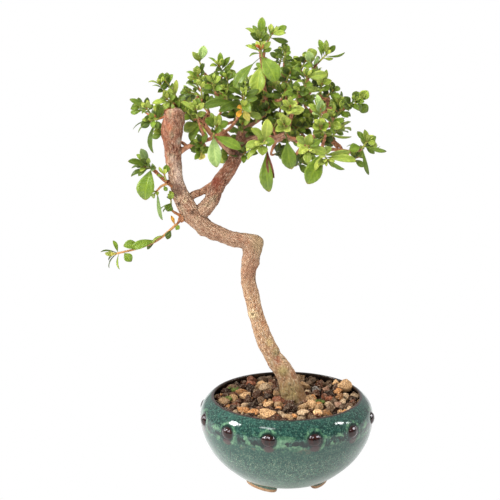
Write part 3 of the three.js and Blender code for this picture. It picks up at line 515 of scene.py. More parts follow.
def soil_height(x, y):
    """How high the soil lies: it falls towards the rim and rises towards the back."""
    fall = SOIL_FALL * math.hypot(x - BOWL_X, y) / SOIL_REACH
    return SOIL_CENTRE_HEIGHT - fall + SOIL_REAR_RISE * max(0, y) / SOIL_REACH


GRAVEL_REACH = 68.6
TRUNK_FOOT = (6, 3)
TRUNK_CLEARANCE = 10.5
THROWS = 9000
draw = seeded(71)
stones = [(*laid, 2) for laid in LAID_STONES]
for attempt in range(THROWS):
    share = attempt / THROWS
    size = 4.4 * (1 - share) ** 2 + 0.9 + 0.5 * next(draw)
    reach = (GRAVEL_REACH - size) * math.sqrt(next(draw))
    azimuth = math.tau * next(draw)
    x, y = BOWL_X + reach * math.cos(azimuth), reach * math.sin(azimuth)
    pick = FILL_COLOURS[int(next(draw) * len(FILL_COLOURS))]
    if math.hypot(x - TRUNK_FOOT[0], y - TRUNK_FOOT[1]) < TRUNK_CLEARANCE + 0.6 * size:
        continue
    if all(math.hypot(x - s[0], y - s[1]) > 0.9 * (size + 0.5 * (s[2] + s[3])) for s in stones):
        deep = size * (0.75 + 0.25 * next(draw))
        stones.append((x, y, size, deep, 0.8 * size, 0, pick, 2 if size > 2.2 else 1))

bm = bmesh.new()
tints = bm.verts.layers.float_color.new("tint")
for number, (x, y, across, deep, tall, lift, colour, fineness) in enumerate(stones):
    high = soil_height(x, y) + 0.42 * tall - 0.8 * next(draw) + lift
    lean = 0.5 if across > 3 else 3
    tilt = Matrix.Rotation(lean * (next(draw) - 0.5), 4, "X")
    tilt = tilt @ Matrix.Rotation(lean * (next(draw) - 0.5), 4, "Y")
    laid = number < len(LAID_STONES)
    around = Matrix.Rotation((0.7 if laid else 6) * (next(draw) - 0.5), 4, "Z")
    shape = Matrix.Diagonal((across * MM, deep * MM, tall * MM, 1))
    ball = bmesh.ops.create_icosphere(bm, subdivisions=fineness, radius=1)["verts"]
    chips = []
    for _ in range(9):
        chips.append(Vector((next(draw) - 0.5, next(draw) - 0.5, next(draw) - 0.5)).normalized())
    worn = (0.6 if laid else 0.48) + 0.16 * next(draw)
    girth = 1.14 if laid else 1.26
    own = Vector((next(draw), next(draw), next(draw))) * 50
    shade = (0.76 if laid else 0.42) + 0.32 * next(draw)
    for vert in ball:
        for chip in chips:
            vert.co -= chip * max(0, vert.co.dot(chip) - worn)
        vert.co *= girth + 0.3 * noise.noise(vert.co * 1.9 + own) + 0.12 * noise.noise(vert.co * 5 + own)
        vert[tints] = (colour[0] * shade, colour[1] * shade, colour[2] * shade, 1)
    place = Matrix.Translation(spot(x, y, high)) @ around @ tilt @ shape
    for vert in ball:
        vert.co = place @ vert.co
stone, where = finish("gravel_stone", Roughness=0.9, Specular_IOR_Level=0.15)
tint = where.node("ShaderNodeAttribute", {}, attribute_name="tint")
pores = where.cloud(1.1, 4, 0.7)
dust = where.cloud(4.5, 3, 0.6, 20)
pitted = pores.rise(0.38, 0.62)
colour = pitted.over(tint.tinted((0.3, 0.21, 0.15, 1)), tint.tinted((1.15, 1.08, 1.0, 1)))
grit = where.cloud(0.7, 3, 0.7, 33)
colour = (grit.rise(0.56, 0.66) * 0.6).over(colour, srgb(214, 198, 174))
colour = ((1 - grit.rise(0.36, 0.44)) * 0.7).over(colour, srgb(34, 17, 9))
colour = (dust.rise(0.52, 0.8) * 0.4).over(colour, srgb(176, 154, 128))
colour.feed("Base Color")
(0.7 * pores + 0.5 * where.cloud(0.5, 2)).bump(0.0009).feed("Normal")
gravel = piece("gravel", bm, [stone], "gravel", "soil")
gravel.data.shade_flat()


# Moss. A few pinches of green moss on the damp soil by the rim and beside the trunk. It is a guess:
# the photograph shows no green among the stones.
# x, y, how far it spreads, number of tufts
MOSS_PATCHES = [(29, -6, 4, 34), (-56, 4, 5, 44), (-3, 12, 6, 44), (-50, 30, 5, 30), (48, 34, 4, 24)]
bm = bmesh.new()
draw = seeded(7)
for x, y, spread, tufts in MOSS_PATCHES:
    for _ in range(tufts):
        azimuth, off = math.tau * next(draw), spread * math.sqrt(next(draw))
        px, py = x + off * math.cos(azimuth), y + off * math.sin(azimuth)
        size = 0.55 + 0.6 * next(draw)
        place = spot(px, py, soil_height(px, py) + 1.4 + 1.6 * next(draw))
        shape = Matrix.Diagonal((size * MM, size * MM, size * 1.8 * MM, 1))
        tilt = Matrix.Rotation(next(draw) - 0.5, 4, "X") @ Matrix.Rotation(next(draw) - 0.5, 4, "Y")
        bmesh.ops.create_icosphere(
            bm, subdivisions=1, radius=1, matrix=Matrix.Translation(place) @ tilt @ shape
        )
moss, where = finish("moss", Roughness=0.9)
blades = where.cloud(0.5, 3, 0.7)
blades.rise(0.3, 0.7).over(srgb(40, 52, 22), srgb(112, 130, 56)).feed("Base Color")
blades.bump(0.0006).feed("Normal")
piece("moss", bm, [moss], "gravel")


# Trunk. Azalea wood grown in an S and cut back to a stub, with thin flaky bark, callused knots and
# pruning scars; the live limb and its boughs leave it at the fork and end in fine orange twigs.
# Places on the trunk, limb, front boughs and front shoots were read by eye off the photograph, in
# pixels that scratch scripts turned into millimetres, with depths chosen by hand. What the soil
# hides, and all that grows on the far side, is guessed.
# x, y, z and radius of the middle of the trunk, from the root stock to the top of the stub
TRUNK = [
    (9, 5, 34, 8), (8, 4, 52, 10.5), (7, 3, 68, 12), (5, 3, 77, 11), (1, 3, 90, 9.4), (-3, 3, 100, 8.7),
    (-13, 2, 115, 7.9), (-21, 0, 132, 7.6), (-26, -2, 147, 6.9), (-30, -3, 161, 6.4), (-34, -5, 180, 6.5),
    (-36, -5, 194, 6.9), (-34, -6, 207, 7.4), (-33, -6, 218, 7.8), (-39, -5, 224, 7.2),
    (-52, -4, 226, 6.4), (-62, -3, 230, 6.8), (-75, -2, 237, 7.4), (-86, -2, 248, 8.2), (-94, -4, 263, 7.6),
    (-98, -7, 277, 6.3), (-100, -11, 293, 6.4), (-101, -14, 308, 7.4), (-101, -18, 324, 9.1),
    (-99, -21, 336, 9), (-99, -23, 341, 7.6), (-99, -23, 342.6, 5),
]
# The live limb from the fork to the knuckle where the boughs start
LIMB = [
    (-88, -2, 249, 5.5), (-80, 0, 248, 6.8), (-75, 0, 251, 6.8), (-68, 3, 259, 6.7), (-65, 5, 267, 6.5),
    (-60, 6, 276, 6.7), (-53, 7, 285, 6.4), (-48, 8, 294, 6.3), (-45, 8, 301, 6), (-43, 8, 306, 4),
]
# Each bough from where it leaves its parent to its tip; the last three, at the back, are guessed
BOUGHS = [
    [(-91, -3, 258, 3), (-84, 1, 264, 3.4), (-77, 5, 266, 3.2), (-69, 7, 271, 3.2), (-64, 6, 274, 3)],
    [(-97, -13, 303, 2.8), (-88, -13, 309, 2.1), (-76, -11, 313, 1.8), (-65, -9, 317, 1.7),
      (-53, -12, 324, 1.5), (-46, -14, 332, 1.4)],
    [(-46, 7, 299, 4.5), (-54, 4, 305, 3), (-62, 2, 312, 2.3), (-69, 2, 319, 2.2), (-76, 4, 328, 2),
      (-86, 3, 336, 1.9), (-96, 0, 343, 1.6)],
    [(-45, 8, 300, 5.6), (-43, 10, 312, 4.1), (-42, 10, 322, 3.4), (-45, 11, 330, 3), (-51, 13, 339, 2.6),
      (-59, 14, 350, 2.4), (-67, 14, 360, 2.1), (-73, 12, 368, 1.6)],
    [(-43, 10, 316, 3.3), (-34, 8, 325, 2.5), (-26, 5, 331, 2.3), (-21, 3, 340, 2.1), (-21, 0, 351, 2),
      (-23, -2, 364, 1.8), (-24, -4, 376, 1.7)],
    [(-22, 3, 338, 2.1), (-14, 5, 346, 1.9), (-8, 7, 354, 1.7), (-5, 8, 364, 1.5), (-5, 7, 373, 1.3)],
    [(-45, 7, 302, 5), (-38, 7, 309, 4), (-29, 4, 313, 3.6), (-20, 2, 312, 3.4), (-11, 0, 314, 3.4),
      (-3, -2, 317, 3.6), (6, -6, 314, 2.8), (17, -8, 315, 2.3), (26, -8, 321, 2), (33, -7, 327, 1.7)],
    [(4, -5, 314, 2.4), (12, -10, 311, 2), (24, -14, 308, 1.7), (38, -14, 307, 1.5), (52, -11, 305, 1.4)],
    [(-3, -2, 317, 2.8), (0, 0, 329, 2), (4, 4, 341, 1.8), (10, 6, 354, 1.6), (16, 5, 366, 1.4)],
    [(23, -8, 319, 2), (29, -2, 333, 1.7), (33, 4, 345, 1.5), (33, 8, 354, 1.2)],
    [(-90, -3, 250, 5), (-93, -5, 246, 2.8), (-96, -6, 242.5, 2)],
    [(-97, -8, 272, 3), (-105, -11, 277, 1.9), (-112, -13, 283, 1.7)],
    [(-45, 8, 303, 4), (-49, 18, 306, 2.8), (-54, 30, 311, 2.3), (-64, 44, 319, 1.9), (-71, 54, 326, 1.5)],
    [(-43, 10, 318, 3), (-38, 24, 327, 2.2), (-30, 38, 335, 1.8), (-26, 47, 340, 1.5)],
    [(-14, 1, 314, 3), (-7, 14, 318, 2.3), (3, 28, 323, 2), (13, 42, 329, 1.7), (21, 52, 333, 1.4)],
]
# x, y, z, breadth and height of callus, knots (raised) and scars (sunk)
KNOBS = [
    (-87, -11, 237, 2.6, 1.9), (-84, -12, 233.5, 2.2, 1.7), (-74, -11, 229, 3, 1.8),
    (-96.5, -11, 258, 1.6, -1.3), (-96.5, -11, 258, 4, 0.8), (-85, -9, 250.5, 1.7, -1.2),
    (-85, -9, 250.5, 4, 0.7), (-42.4, -10, 207.5, 3, 1.4), (-26.5, -8, 204, 3, 1.3),
    (-44, -9, 185, 2.8, 1.2), (-31.7, -8, 158, 3.6, 1.4), (-31.7, -9, 158, 1.3, -2.6),
    (-18, -6, 143.5, 2.8, 1.5), (-11, -4, 122, 3.4, 0.9), (-5, -6, 104.5, 4.4, 1.5),
    (-5.5, -7, 105, 1.4, -1.6), (-46, 2, 300, 4, 1.0), (-46, 1, 300, 1.7, -1.2), (-27, -8, 222, 4, 1.0),
    (-31, -10, 230, 3, 1.2), (-24, -8, 215, 3, 1.1), (-79, -11, 241, 2.4, 0.9),
    (-65, -10, 226.5, 2.4, 1.0), (-56, -10, 224.5, 2.6, 0.9), (-110, -14, 331, 3.4, 1.2),
    (-90, -20, 331, 3.6, 1.3), (-101, -26, 339, 4, 0.6), (-37, -9, 173.5, 2.2, 0.8),
    (11, -6, 92, 4, 1.6), (-4, -5, 84, 4, 1.4), (8, -8, 80, 4, 1.3), (-92, -9, 266, 2.4, 0.9),
    (-26, -5, 224, 6, 3.6), (-30, -5, 229, 5, 1.6), (-78, -3, 229, 3, 1.8), (-69, -3, 223.5, 3, 1.5),
    (-31, -4, 236, 4, 1.2), (-50, -4, 216, 4, 0.8), (-80, -5, 226, 4, 1.4), (-93, -4, 243, 4, 1.2),
    (-105, -6, 262, 4, 1.0), (-47, -4, 211, 3, 1.2), (-40, 5, 286, 3, 0.8), (-58, 0, 274, 2.6, 0.9),
    (-71, -5, 254, 2.6, 0.9), (-100, -13, 287, 2.4, 0.7),
]
# x, y, z, breadth, strength and colour of patches on the bark
STAINS = [
    (-98, -22, 345, 6.5, 0.75, srgb(192, 166, 148)), (-64.4, 0, 276.3, 5.6, 0.75, srgb(118, 50, 36)),
    (-58.2, 1, 285.4, 4, 0.5, srgb(120, 66, 48)), (-46, 1, 299.7, 1.7, 1, srgb(196, 52, 34)),
    (-49.2, 2, 303.4, 3.4, 0.9, srgb(46, 28, 24)), (-39.6, 3, 305.7, 4, 0.7, srgb(84, 52, 40)),
    (-73.6, -4, 269.5, 4.5, 0.5, srgb(196, 150, 124)), (-106.4, -22, 288.8, 4, 0.5, srgb(196, 120, 86)),
    (-103.1, -28, 327.8, 3.5, 0.55, srgb(188, 110, 76)),
    (-101.2, -22, 299.2, 3.6, 0.5, srgb(214, 194, 178)), (-107.5, -16, 318, 4, 0.75, srgb(176, 96, 62)),
    (-107, -14, 300, 3.6, 0.7, srgb(168, 92, 60)), (-105.5, -10, 286, 3.4, 0.6, srgb(160, 90, 62)),
    (-96, -20, 316, 3.6, 0.7, srgb(188, 176, 156)), (-98, -14, 297, 3.4, 0.6, srgb(190, 178, 158)),
    (-99, -22, 340, 6, 0.8, srgb(132, 124, 84)), (-98, -12, 271, 6.4, 0.75, srgb(86, 54, 42)),
    (-96.5, -11, 258, 2.2, 0.95, srgb(40, 26, 22)), (-85, -9, 250.5, 2.2, 0.95, srgb(44, 30, 24)),
    (-91, -10, 261, 2, 0.8, srgb(214, 190, 152)), (-80, -10, 246, 1.8, 0.8, srgb(212, 190, 154)),
    (-87, -11, 237, 3, 0.6, srgb(170, 160, 118)), (-74, -11, 229, 3, 0.6, srgb(168, 158, 116)),
    (-62, -10, 226, 5, 0.5, srgb(134, 78, 56)), (-27, -9, 222, 8, 0.6, srgb(152, 142, 98)),
    (-31, -9, 231, 5, 0.5, srgb(150, 140, 96)), (-34, -9, 197, 7, 0.55, srgb(150, 86, 62)),
    (-31.7, -8, 158, 4.4, 0.75, srgb(214, 190, 146)), (-31.7, -8, 158, 1.5, 1.0, srgb(30, 20, 16)),
    (-16.5, -7, 131.5, 4, 0.6, srgb(206, 180, 124)), (-11, -6, 121.8, 4.6, 0.6, srgb(140, 136, 92)),
    (-8.5, -6, 116, 3.4, 0.6, srgb(150, 84, 60)), (-5, -6, 104.5, 5.2, 0.65, srgb(150, 140, 86)),
    (-5.5, -7, 105, 1.6, 0.9, srgb(58, 42, 28)), (2, -6, 85, 11, 0.55, srgb(108, 98, 68)),
    (-46, 1, 300, 4, 0.8, srgb(52, 32, 28)), (-45, 0, 297, 2, 0.9, srgb(150, 62, 46)),
    (-20, -7, 148, 5, 0.4, srgb(186, 132, 88)),
]
TWIG_RADIUS = {"root": 1.5, "tip": 0.85}


def along(points, share):
    """A place on the smooth curve through points, with its radius where points have one."""
    rows = [np.array(row, float) for row in points]
    step = min(int(share * (len(rows) - 1)), len(rows) - 2)
    t = share * (len(rows) - 1) - step
    first, last = rows[step], rows[step + 1]
    before = rows[step - 1] if step else 2 * first - last
    after = rows[step + 2] if step + 2 < len(rows) else 2 * last - first
    bend = (2 * before - 5 * first + 4 * last - after) * t * t
    twist = (3 * first - before - 3 * last + after) * t ** 3
    place = 0.5 * (2 * first + (last - before) * t + bend + twist)
    place[3:] = first[3:] + (last[3:] - first[3:]) * t
    return place


def smooth_line(points, per_span):
    steps = (len(points) - 1) * per_span
    return [along(points, i / steps) for i in range(steps + 1)]


def tube_frames(line):
    """A frame in metres for each place of a line of (x, y, z, radius): its z runs along the line."""
    places = [spot(*row[:3]) for row in line]
    side, frames = Vector((0.1, 1, 0)), []
    for i, place in enumerate(places):
        heading = (places[min(i + 1, len(places) - 1)] - places[max(i - 1, 0)]).normalized()
        side = (side - heading * side.dot(heading)).normalized()
        turn = Matrix((side, heading.cross(side), heading)).transposed().to_4x4()
        frames.append(Matrix.Translation(place) @ turn @ Matrix.Scale(line[i][3] * MM, 4))
    return frames


def tube(bm, line, sides):
    """A closed round tube along a line of (x, y, z, radius); returns its vertices."""
    frames = tube_frames(line)
    ring = bmesh.ops.create_circle(bm, cap_ends=True, segments=sides, radius=1, matrix=frames[0])["verts"]
    bmesh.ops.reverse_faces(bm, faces=ring[0].link_faces)
    edges = list({edge for vert in ring for edge in vert.link_edges})
    made = list(ring)
    for before, after in zip(frames, frames[1:]):
        grown = bmesh.ops.extrude_edge_only(bm, edges=edges)["geom"]
        ring = [item for item in grown if isinstance(item, bmesh.types.BMVert)]
        fresh = set(ring)
        edges = [item for item in grown if isinstance(item, bmesh.types.BMEdge) and set(item.verts) <= fresh]
        bmesh.ops.transform(bm, matrix=after @ before.inverted(), verts=ring)
        made += ring
    bmesh.ops.contextual_create(bm, geom=edges)
    return made


# The heavy wood is modelled as limbs that are melted together into one skin
SKIN_GRAIN = 0.85
heavy = [smooth_line(points, 8) for points in [TRUNK, LIMB, *BOUGHS]]
bm = bmesh.new()
rough_mesh = bpy.data.meshes.new("heavy_wood")
for line in heavy:
    lone = bmesh.new()
    tube(lone, line, 20)
    bmesh.ops.recalc_face_normals(lone, faces=lone.faces)
    lone.to_mesh(rough_mesh)
    lone.free()
    bm.from_mesh(rough_mesh)
bm.to_mesh(rough_mesh)
bm.free()
rough = bpy.data.objects.new("heavy_wood", rough_mesh)
bpy.context.scene.collection.objects.link(rough)
melt = rough.modifiers.new("melted", "REMESH")
melt.mode = "VOXEL"
melt.voxel_size = SKIN_GRAIN * MM
melted = rough.evaluated_get(bpy.context.evaluated_depsgraph_get()).to_mesh()
bm = bmesh.new()
bm.from_mesh(melted)
bpy.data.objects.remove(rough)
bpy.data.meshes.remove(rough_mesh)
bmesh.ops.smooth_vert(bm, verts=bm.verts, factor=0.6, use_axis_x=True, use_axis_y=True, use_axis_z=True)

# Where each vertex lies on its limb: across, across and along, in millimetres
samples, sample_frames, lengths = [], [], []
for line in heavy:
    run = 0
    for i, frame_here in enumerate(tube_frames(line)):
        run += np.linalg.norm(line[i][:3] - line[i - 1][:3]) if i else 0
        samples.append((*(frame_here.translation / MM), line[i][3]))
        sample_frames.append(np.array(frame_here.to_3x3().normalized()))
        lengths.append(run)
samples, sample_frames, lengths = np.array(samples), np.array(sample_frames), np.array(lengths)
bm.verts.ensure_lookup_table()
skin = np.array([vert.co for vert in bm.verts]) / MM
nearest = np.zeros(len(skin), int)
BATCH = 4000
for start in range(0, len(skin), BATCH):
    part = skin[start:start + BATCH]
    gap = np.linalg.norm(part[:, None] - samples[None, :, :3], axis=2) - samples[None, :, 3]
    nearest[start:start + BATCH] = gap.argmin(axis=1)
local = np.einsum("nij,ni->nj", sample_frames[nearest], skin - samples[nearest, :3])
thick = samples[nearest, 3]
grain = np.stack([local[:, 0], local[:, 1], lengths[nearest] + local[:, 2]], axis=1)

layers = bm.verts.layers
grain_layer = layers.float_vector.new("grain")
thick_layer = layers.float.new("thick")
stain_layer = layers.float_color.new("stain")
knobs = np.array(KNOBS) + np.array([*(spot(0, 0, 0) / MM), 0, 0])
stain_places = np.array([row[:5] for row in STAINS]) + np.array([*(spot(0, 0, 0) / MM), 0, 0])
normals = [vert.normal.copy() for vert in bm.verts]
for i, vert in enumerate(bm.verts):
    g, radius = grain[i], thick[i]
    fibre = Vector((g[0] * 0.6, g[1] * 0.6, g[2] * 0.2))
    flakes = noise.noise(fibre) * 0.5 + noise.noise(fibre * 2.1) * 0.36
    lumps = noise.noise(Vector((g[0] * 0.12, g[1] * 0.12, g[2] * 0.07)) + Vector((7, 7, 7))) * 0.9
    push = (flakes + lumps) * min(1, radius / 6)
    far = skin[i] - knobs[:, :3]
    push += float((knobs[:, 4] * np.exp(-(far * far).sum(axis=1) / knobs[:, 3] ** 2)).sum())
    vert.co += normals[i] * push * MM
    vert[grain_layer] = Vector(g)
    vert[thick_layer] = radius
    far = skin[i] - stain_places[:, :3]
    strengths = stain_places[:, 4] * np.exp(-((far * far).sum(axis=1) / stain_places[:, 3] ** 2) ** 1.5)
    most = int(strengths.argmax())
    tint = STAINS[most][5]
    vert[stain_layer] = (tint[0], tint[1], tint[2], float(strengths[most]))

# Twigs run from the nearest fitting place on a bough to each leafy shoot
# Base, places on the way, top, colours of the leaves, and each leaf: share, tip x, y, z, width, roll.
# The scratch script stretched most of these depths by 1.35 or 1.7.
SHOOTS = [
    ((-107, 0, 354), [], (-111, -5, 362), "mbmdmbm", [
        (0.9, -109, -7, 372, 7, 10), (0.5, -121, -8, 365, 4, 70), (0.3, -118, -2, 361, 4, 60),
        (0.15, -113, -10, 356, 5, 20), (0.8, -105, 0, 366, 4, 30), (1, -112, 1, 368, 4, -30),
        (0.7, -115, 1, 365, 3, 50),
    ]),
    ((-101, -7, 346), [], (-105, -11, 350), "bbmnb", [
        (0.9, -108, -16, 357, 6, 0), (1, -102, -14, 360, 6, 10), (0.7, -98, -17, 354, 5, 10),
        (0.2, -97, -7, 366, 5, 25), (0.3, -118, -13, 347, 5, 10), (0.5, -107, -17, 342, 5, 0),
        (0.2, -98, -14, 342, 4, 40), (0.6, -112, -7, 350, 4, 20),
    ]),
    ((-119, -14, 337), [], (-122, -20, 343), "mbmdmbm", [
        (0.9, -136, -24, 352, 5, 15), (1, -121, -24, 349, 7, 0), (0.7, -117, -22, 347, 4, 30),
        (0.6, -130, -17, 343, 4, 60), (0.3, -126, -24, 340, 4, 50),
    ]),
    ((-112, -17, 334), [], (-118, -20, 333), "dmddm", [
        (0.9, -127, -24, 328, 8, 10), (0.8, -119, -23, 340, 5, 0), (1, -124, -22, 336, 5, 20),
        (0.5, -135, -18, 326, 4, 70), (0.7, -130, -25, 324, 3, 80), (0.1, -118, -26, 306, 7, 55),
        (0.3, -113, -23, 326, 5, 20), (0.3, -114, -18, 342, 4, 30), (0.1, -109, -17, 345, 4, 20),
        (0.6, -117, -28, 328, 5, 10),
    ]),
    ((-76, 5, 361), [], (-79, 3, 368), "mbmdmbm", [
        (0.6, -89, 4, 372, 4, 40), (0.9, -83, 1, 375, 4, 10), (1, -80, 4, 377, 5, 0),
        (1, -75, 6, 379, 4, 20), (0.3, -83, -1, 363, 5, 20), (0.4, -70, 0, 369, 4, 20),
        (0.7, -75, 9, 373, 4, 40),
    ]),
    ((-75, 16, 370), [], (-78, 14, 379), "pbpm", [
        (1, -74, 14, 393, 8, 5), (0.9, -84, 10, 388, 5, 0), (0.4, -74, 10, 378, 3, 30),
    ]),
    ((-76, 0, 349), [], (-76, -3, 358), "mbmdmbm", [
        (0.5, -87, -3, 362, 4, 55), (0.2, -87, 0, 356, 4, 60), (0.8, -72, -5, 364, 5, 10),
        (1, -76, -1, 366, 4, 20), (0.4, -69, -6, 358, 4, 50), (0.1, -82, -8, 354, 3, 20),
    ]),
    ((-81, 11, 351), [], (-86, 8, 353), "dmddm", [
        (0.8, -92, 7, 358, 4, 10), (1, -95, 6, 353, 5, 10), (0.9, -97, 4, 348, 4, 50),
        (0.3, -83, 12, 357, 4, 30), (0.2, -95, 14, 346, 8, 15), (0.5, -90, 4, 347, 4, 50),
    ]),
    ((-79, -20, 335), [], (-80, -31, 344), "bbmnb", [
        (0.5, -92, -33, 351, 5, 25), (0.9, -82, -35, 353, 4, 0), (1, -78, -33, 354, 7, 0),
        (0.8, -73, -35, 350, 5, 10), (0.7, -85, -37, 348, 4, 0), (0.3, -72, -35, 342, 5, 20),
        (0.4, -83, -37, 341, 4, 0),
    ]),
    ((-58, 22, 368), [], (-61, 16, 375), "mbmdmbm", [
        (0.6, -70, 16, 383, 4, 45), (0.9, -69, 11, 376, 4, 20), (1, -60, 15, 387, 5, 10),
        (0.5, -64, 10, 372, 5, 0), (0.5, -52, 16, 383, 5, 10), (0.4, -48, 19, 380, 4, 40),
        (0.3, -50, 13, 376, 4, 20), (0.9, -57, 10, 381, 4, 10), (0.05, -47, 19, 370, 6, 30),
        (0.05, -66, 19, 365, 5, 30),
    ]),
    ((-26, -4, 394), [], (-26, -5, 401), "mbmdmbm", [
        (1, -24, -5, 419, 7, 5), (0.8, -38, -3, 410, 5, 20), (0.9, -32, 0, 412, 4, 10),
        (0.5, -34, -9, 406, 6, 10), (0.9, -20, -1, 411, 4, 10), (0.9, -28, -13, 409, 5, 0),
        (0.8, -22, -12, 409, 5, 10), (0.6, -18, -10, 405, 5, 30),
    ]),
    ((-19, -2, 399), [], (-16, -1, 404), "mbmdmbm", [
        (0.9, -3, 1, 411, 6, 15), (1, -4, -5, 406, 5, 10), (0.6, -16, 2, 412, 5, 0),
        (0.5, -2, -4, 398, 5, 30), (1, -11, 4, 411, 3, 30), (0.2, -23, 3, 406, 4, 30),
    ]),
    ((-24, -7, 385), [], (-25, -9, 392), "bmmbmmbmccc", [
        (0.7, -38, -10, 396, 4, 20), (1, -33, -7, 397, 3, 10), (0.5, -35, -13, 387, 4, 40),
        (0.9, -17, -12, 399, 5, 20), (0.6, -16, -7, 393, 4, 30), (0.1, -48, -19, 360, 11, 20),
        (0.15, -29, -23, 356, 14, 0), (0.2, -12, -21, 366, 16, -5), (0.3, -19, -6, 381, 4, 20),
        (0.9, -30, -11, 396, 3.4, 10), (0.9, -23, -12, 397, 3.4, -20), (0.8, -27, -13, 391, 3.6, 30),
    ]),
    ((-40, -20, 347), [], (-39, -31, 356), "dddm", [
        (0.7, -53, -34, 362, 6, 35), (0.9, -44, -31, 367, 5, 20), (0.8, -27, -35, 361, 6, 10),
        (0.5, -28, -34, 354, 6, 20), (1, -38, -29, 364, 5, 10), (0.1, -74, -35, 347, 9, 15),
        (0.05, -60, -39, 344, 8, 5), (0.15, -34, -39, 343, 8, 5), (0.6, -49, -37, 354, 5, 20),
    ]),
    ((-5, 8, 379), [], (-4, 5, 388), "dmddm", [
        (1, -6, 5, 397, 5, 10), (0.9, -1, 2, 394, 5, 0), (0.3, 14, 1, 385, 4, 60),
        (0.6, -14, 7, 390, 5, 20), (0.4, -12, -1, 385, 5, 20), (0.2, 0, -1, 375, 6, 10),
        (0.1, 11, 8, 375, 7, 25),
    ]),
    ((24, 5, 379), [], (31, 5, 386), "mbmdmbm", [
        (0.8, 25, 8, 399, 5, 10), (1, 31, 3, 399, 5, 0), (0.5, 24, 1, 393, 4, 40), (1, 39, 6, 394, 5, 15),
        (0.9, 47, 1, 388, 3, 70), (0.6, 37, 2, 383, 3, 40), (1, 35, 10, 391, 4, 30),
        (0.3, 23, 8, 385, 3, 40),
    ]),
    ((20, 3, 372), [], (18, 0, 380), "pbpm", [
        (0.8, 15, -4, 390, 8, 0), (0.9, 18, 5, 392, 9, 25), (0.5, 24, 3, 385, 4, 30),
        (0.4, 11, -3, 377, 4, 20), (1, 20, -1, 386, 3, 40),
    ]),
    ((11, -5, 358), [], (14, -11, 369), "mbmdmbm", [
        (0.9, 2, -15, 377, 4, 40), (1, 31, -17, 372, 8, 10), (0.9, 21, -13, 376, 5, 20),
        (0.7, 7, -6, 373, 4, 20), (1, 14, -14, 377, 4, 10), (0.5, 5, -17, 366, 4, 20),
        (0.4, 19, -16, 363, 5, 30),
    ]),
    ((26, 0, 353), [], (27, -7, 362), "bbmnb", [
        (1, 31, -10, 375, 5, 10), (1, 35, -12, 366, 6, 10), (0.7, 33, -11, 358, 7, 0),
        (0.8, 23, -12, 368, 6, 0), (0.5, 26, -15, 357, 6, 0), (0.4, 20, -10, 358, 5, 20),
        (0.2, 11, -1, 357, 9, 20),
    ]),
    ((6, -14, 349), [], (6, -22, 358), "dmddm", [
        (0.8, -2, -22, 365, 4, 20), (0.7, -1, -27, 352, 7, 10), (0.7, 16, -26, 358, 8, 5),
        (0.9, 12, -26, 363, 5, 0), (1, 4, -24, 367, 5, 10), (0.3, 11, -27, 349, 5, 10),
        (0.4, -5, -28, 358, 5, 20),
    ]),
    ((-3, -34, 339), [], (-1, -44, 348), "nbnb", [
        (0.8, -7, -46, 354, 5, 0), (1, -1, -47, 356, 5, 0), (0.9, 5, -48, 352, 5, 0),
        (0.7, 6, -49, 346, 5, 0), (0.6, -2, -50, 343, 6, 0), (0.7, -9, -47, 348, 5, 0),
        (0.3, 11, -42, 346, 8, 0),
    ]),
    ((37, -3, 328), [], (42, 0, 343), "mbmdmbm", [
        (0.2, 47, -6, 346, 7, 5), (1, 43, 3, 352, 5, 10), (0.8, 35, 2, 355, 5, 20), (1, 45, 6, 355, 3, 30),
        (0.9, 48, -3, 350, 5, 10), (0.6, 35, -3, 347, 5, 10),
    ]),
    ((55, -2, 344), [], (60, -1, 347), "mbmdmbm", [
        (0.9, 58, 1, 355, 6, 0), (1, 67, -3, 356, 9, 5), (0.6, 67, -4, 338, 9, 10),
        (0.9, 63, 2, 346, 3, 50), (0.05, 47, -5, 345, 6, 20),
    ]),
    ((25, -24, 334), [], (25, -34, 344), "pbpm", [
        (0.6, 25, -39, 353, 8, 0), (0.5, 15, -37, 349, 6, 10), (0.9, 22, -32, 357, 5, 10),
        (0.8, 29, -36, 349, 5, 10), (0.3, 18, -40, 342, 5, 20), (0.2, 32, -30, 340, 5, 30),
    ]),
    ((35, -14, 328), [], (35, -20, 336), "mbmdmbm", [
        (0.8, 32, -23, 342, 7, 0), (1, 37, -18, 348, 4, 40), (0.5, 46, -21, 333, 5, 20),
        (0.9, 40, -24, 340, 5, 0), (0.3, 28, -25, 337, 5, 10), (0.2, 43, -26, 328, 8, 25),
        (0.1, 38, -24, 322, 5, 50),
    ]),
    ((29, -27, 323), [], (25, -37, 331), "bbmnb", [
        (0.8, 18, -40, 330, 8, 10), (1, 25, -39, 338, 6, 0), (0.7, 32, -41, 333, 8, 10),
        (0.8, 21, -34, 336, 5, 10), (0.4, 29, -44, 328, 5, 10), (0.3, 19, -41, 325, 5, 20),
        (0.1, 51, -37, 321, 3, 70),
    ]),
    ((10, 19, 320), [], (14, 16, 329), "dmddm", [
        (0.7, 7, 16, 334, 9, 15), (0.9, 18, 13, 325, 8, 10), (1, 21, 16, 333, 6, 20),
        (0.6, 8, 12, 325, 6, 10), (1, 15, 19, 338, 6, 10),
    ]),
    ((62, -10, 307), [], (66, -11, 313), "mbmdmbm", [
        (0.8, 58, -9, 322, 5, 10), (1, 64, -13, 324, 5, 0), (0.9, 74, -12, 318, 5, 15),
        (0.6, 78, -9, 308, 3, 70), (0.4, 83, -14, 305, 4, 25), (1, 73, -15, 312, 5, 10),
        (0.05, 51, -13, 306, 9, 10), (0.1, 68, -12, 284, 4, 20), (0.2, 49, -7, 309, 3, 70),
    ]),
    ((12, -48, 320), [], (14, -60, 315), "bbmnb", [
        (0.5, 4, -60, 325, 7, 10), (0.7, 16, -62, 328, 8, 0), (0.8, 24, -62, 323, 7, 0),
        (0.6, 6, -64, 312, 7, 0), (0.9, 13, -66, 304, 7, 0), (0.8, 29, -62, 312, 8, 5),
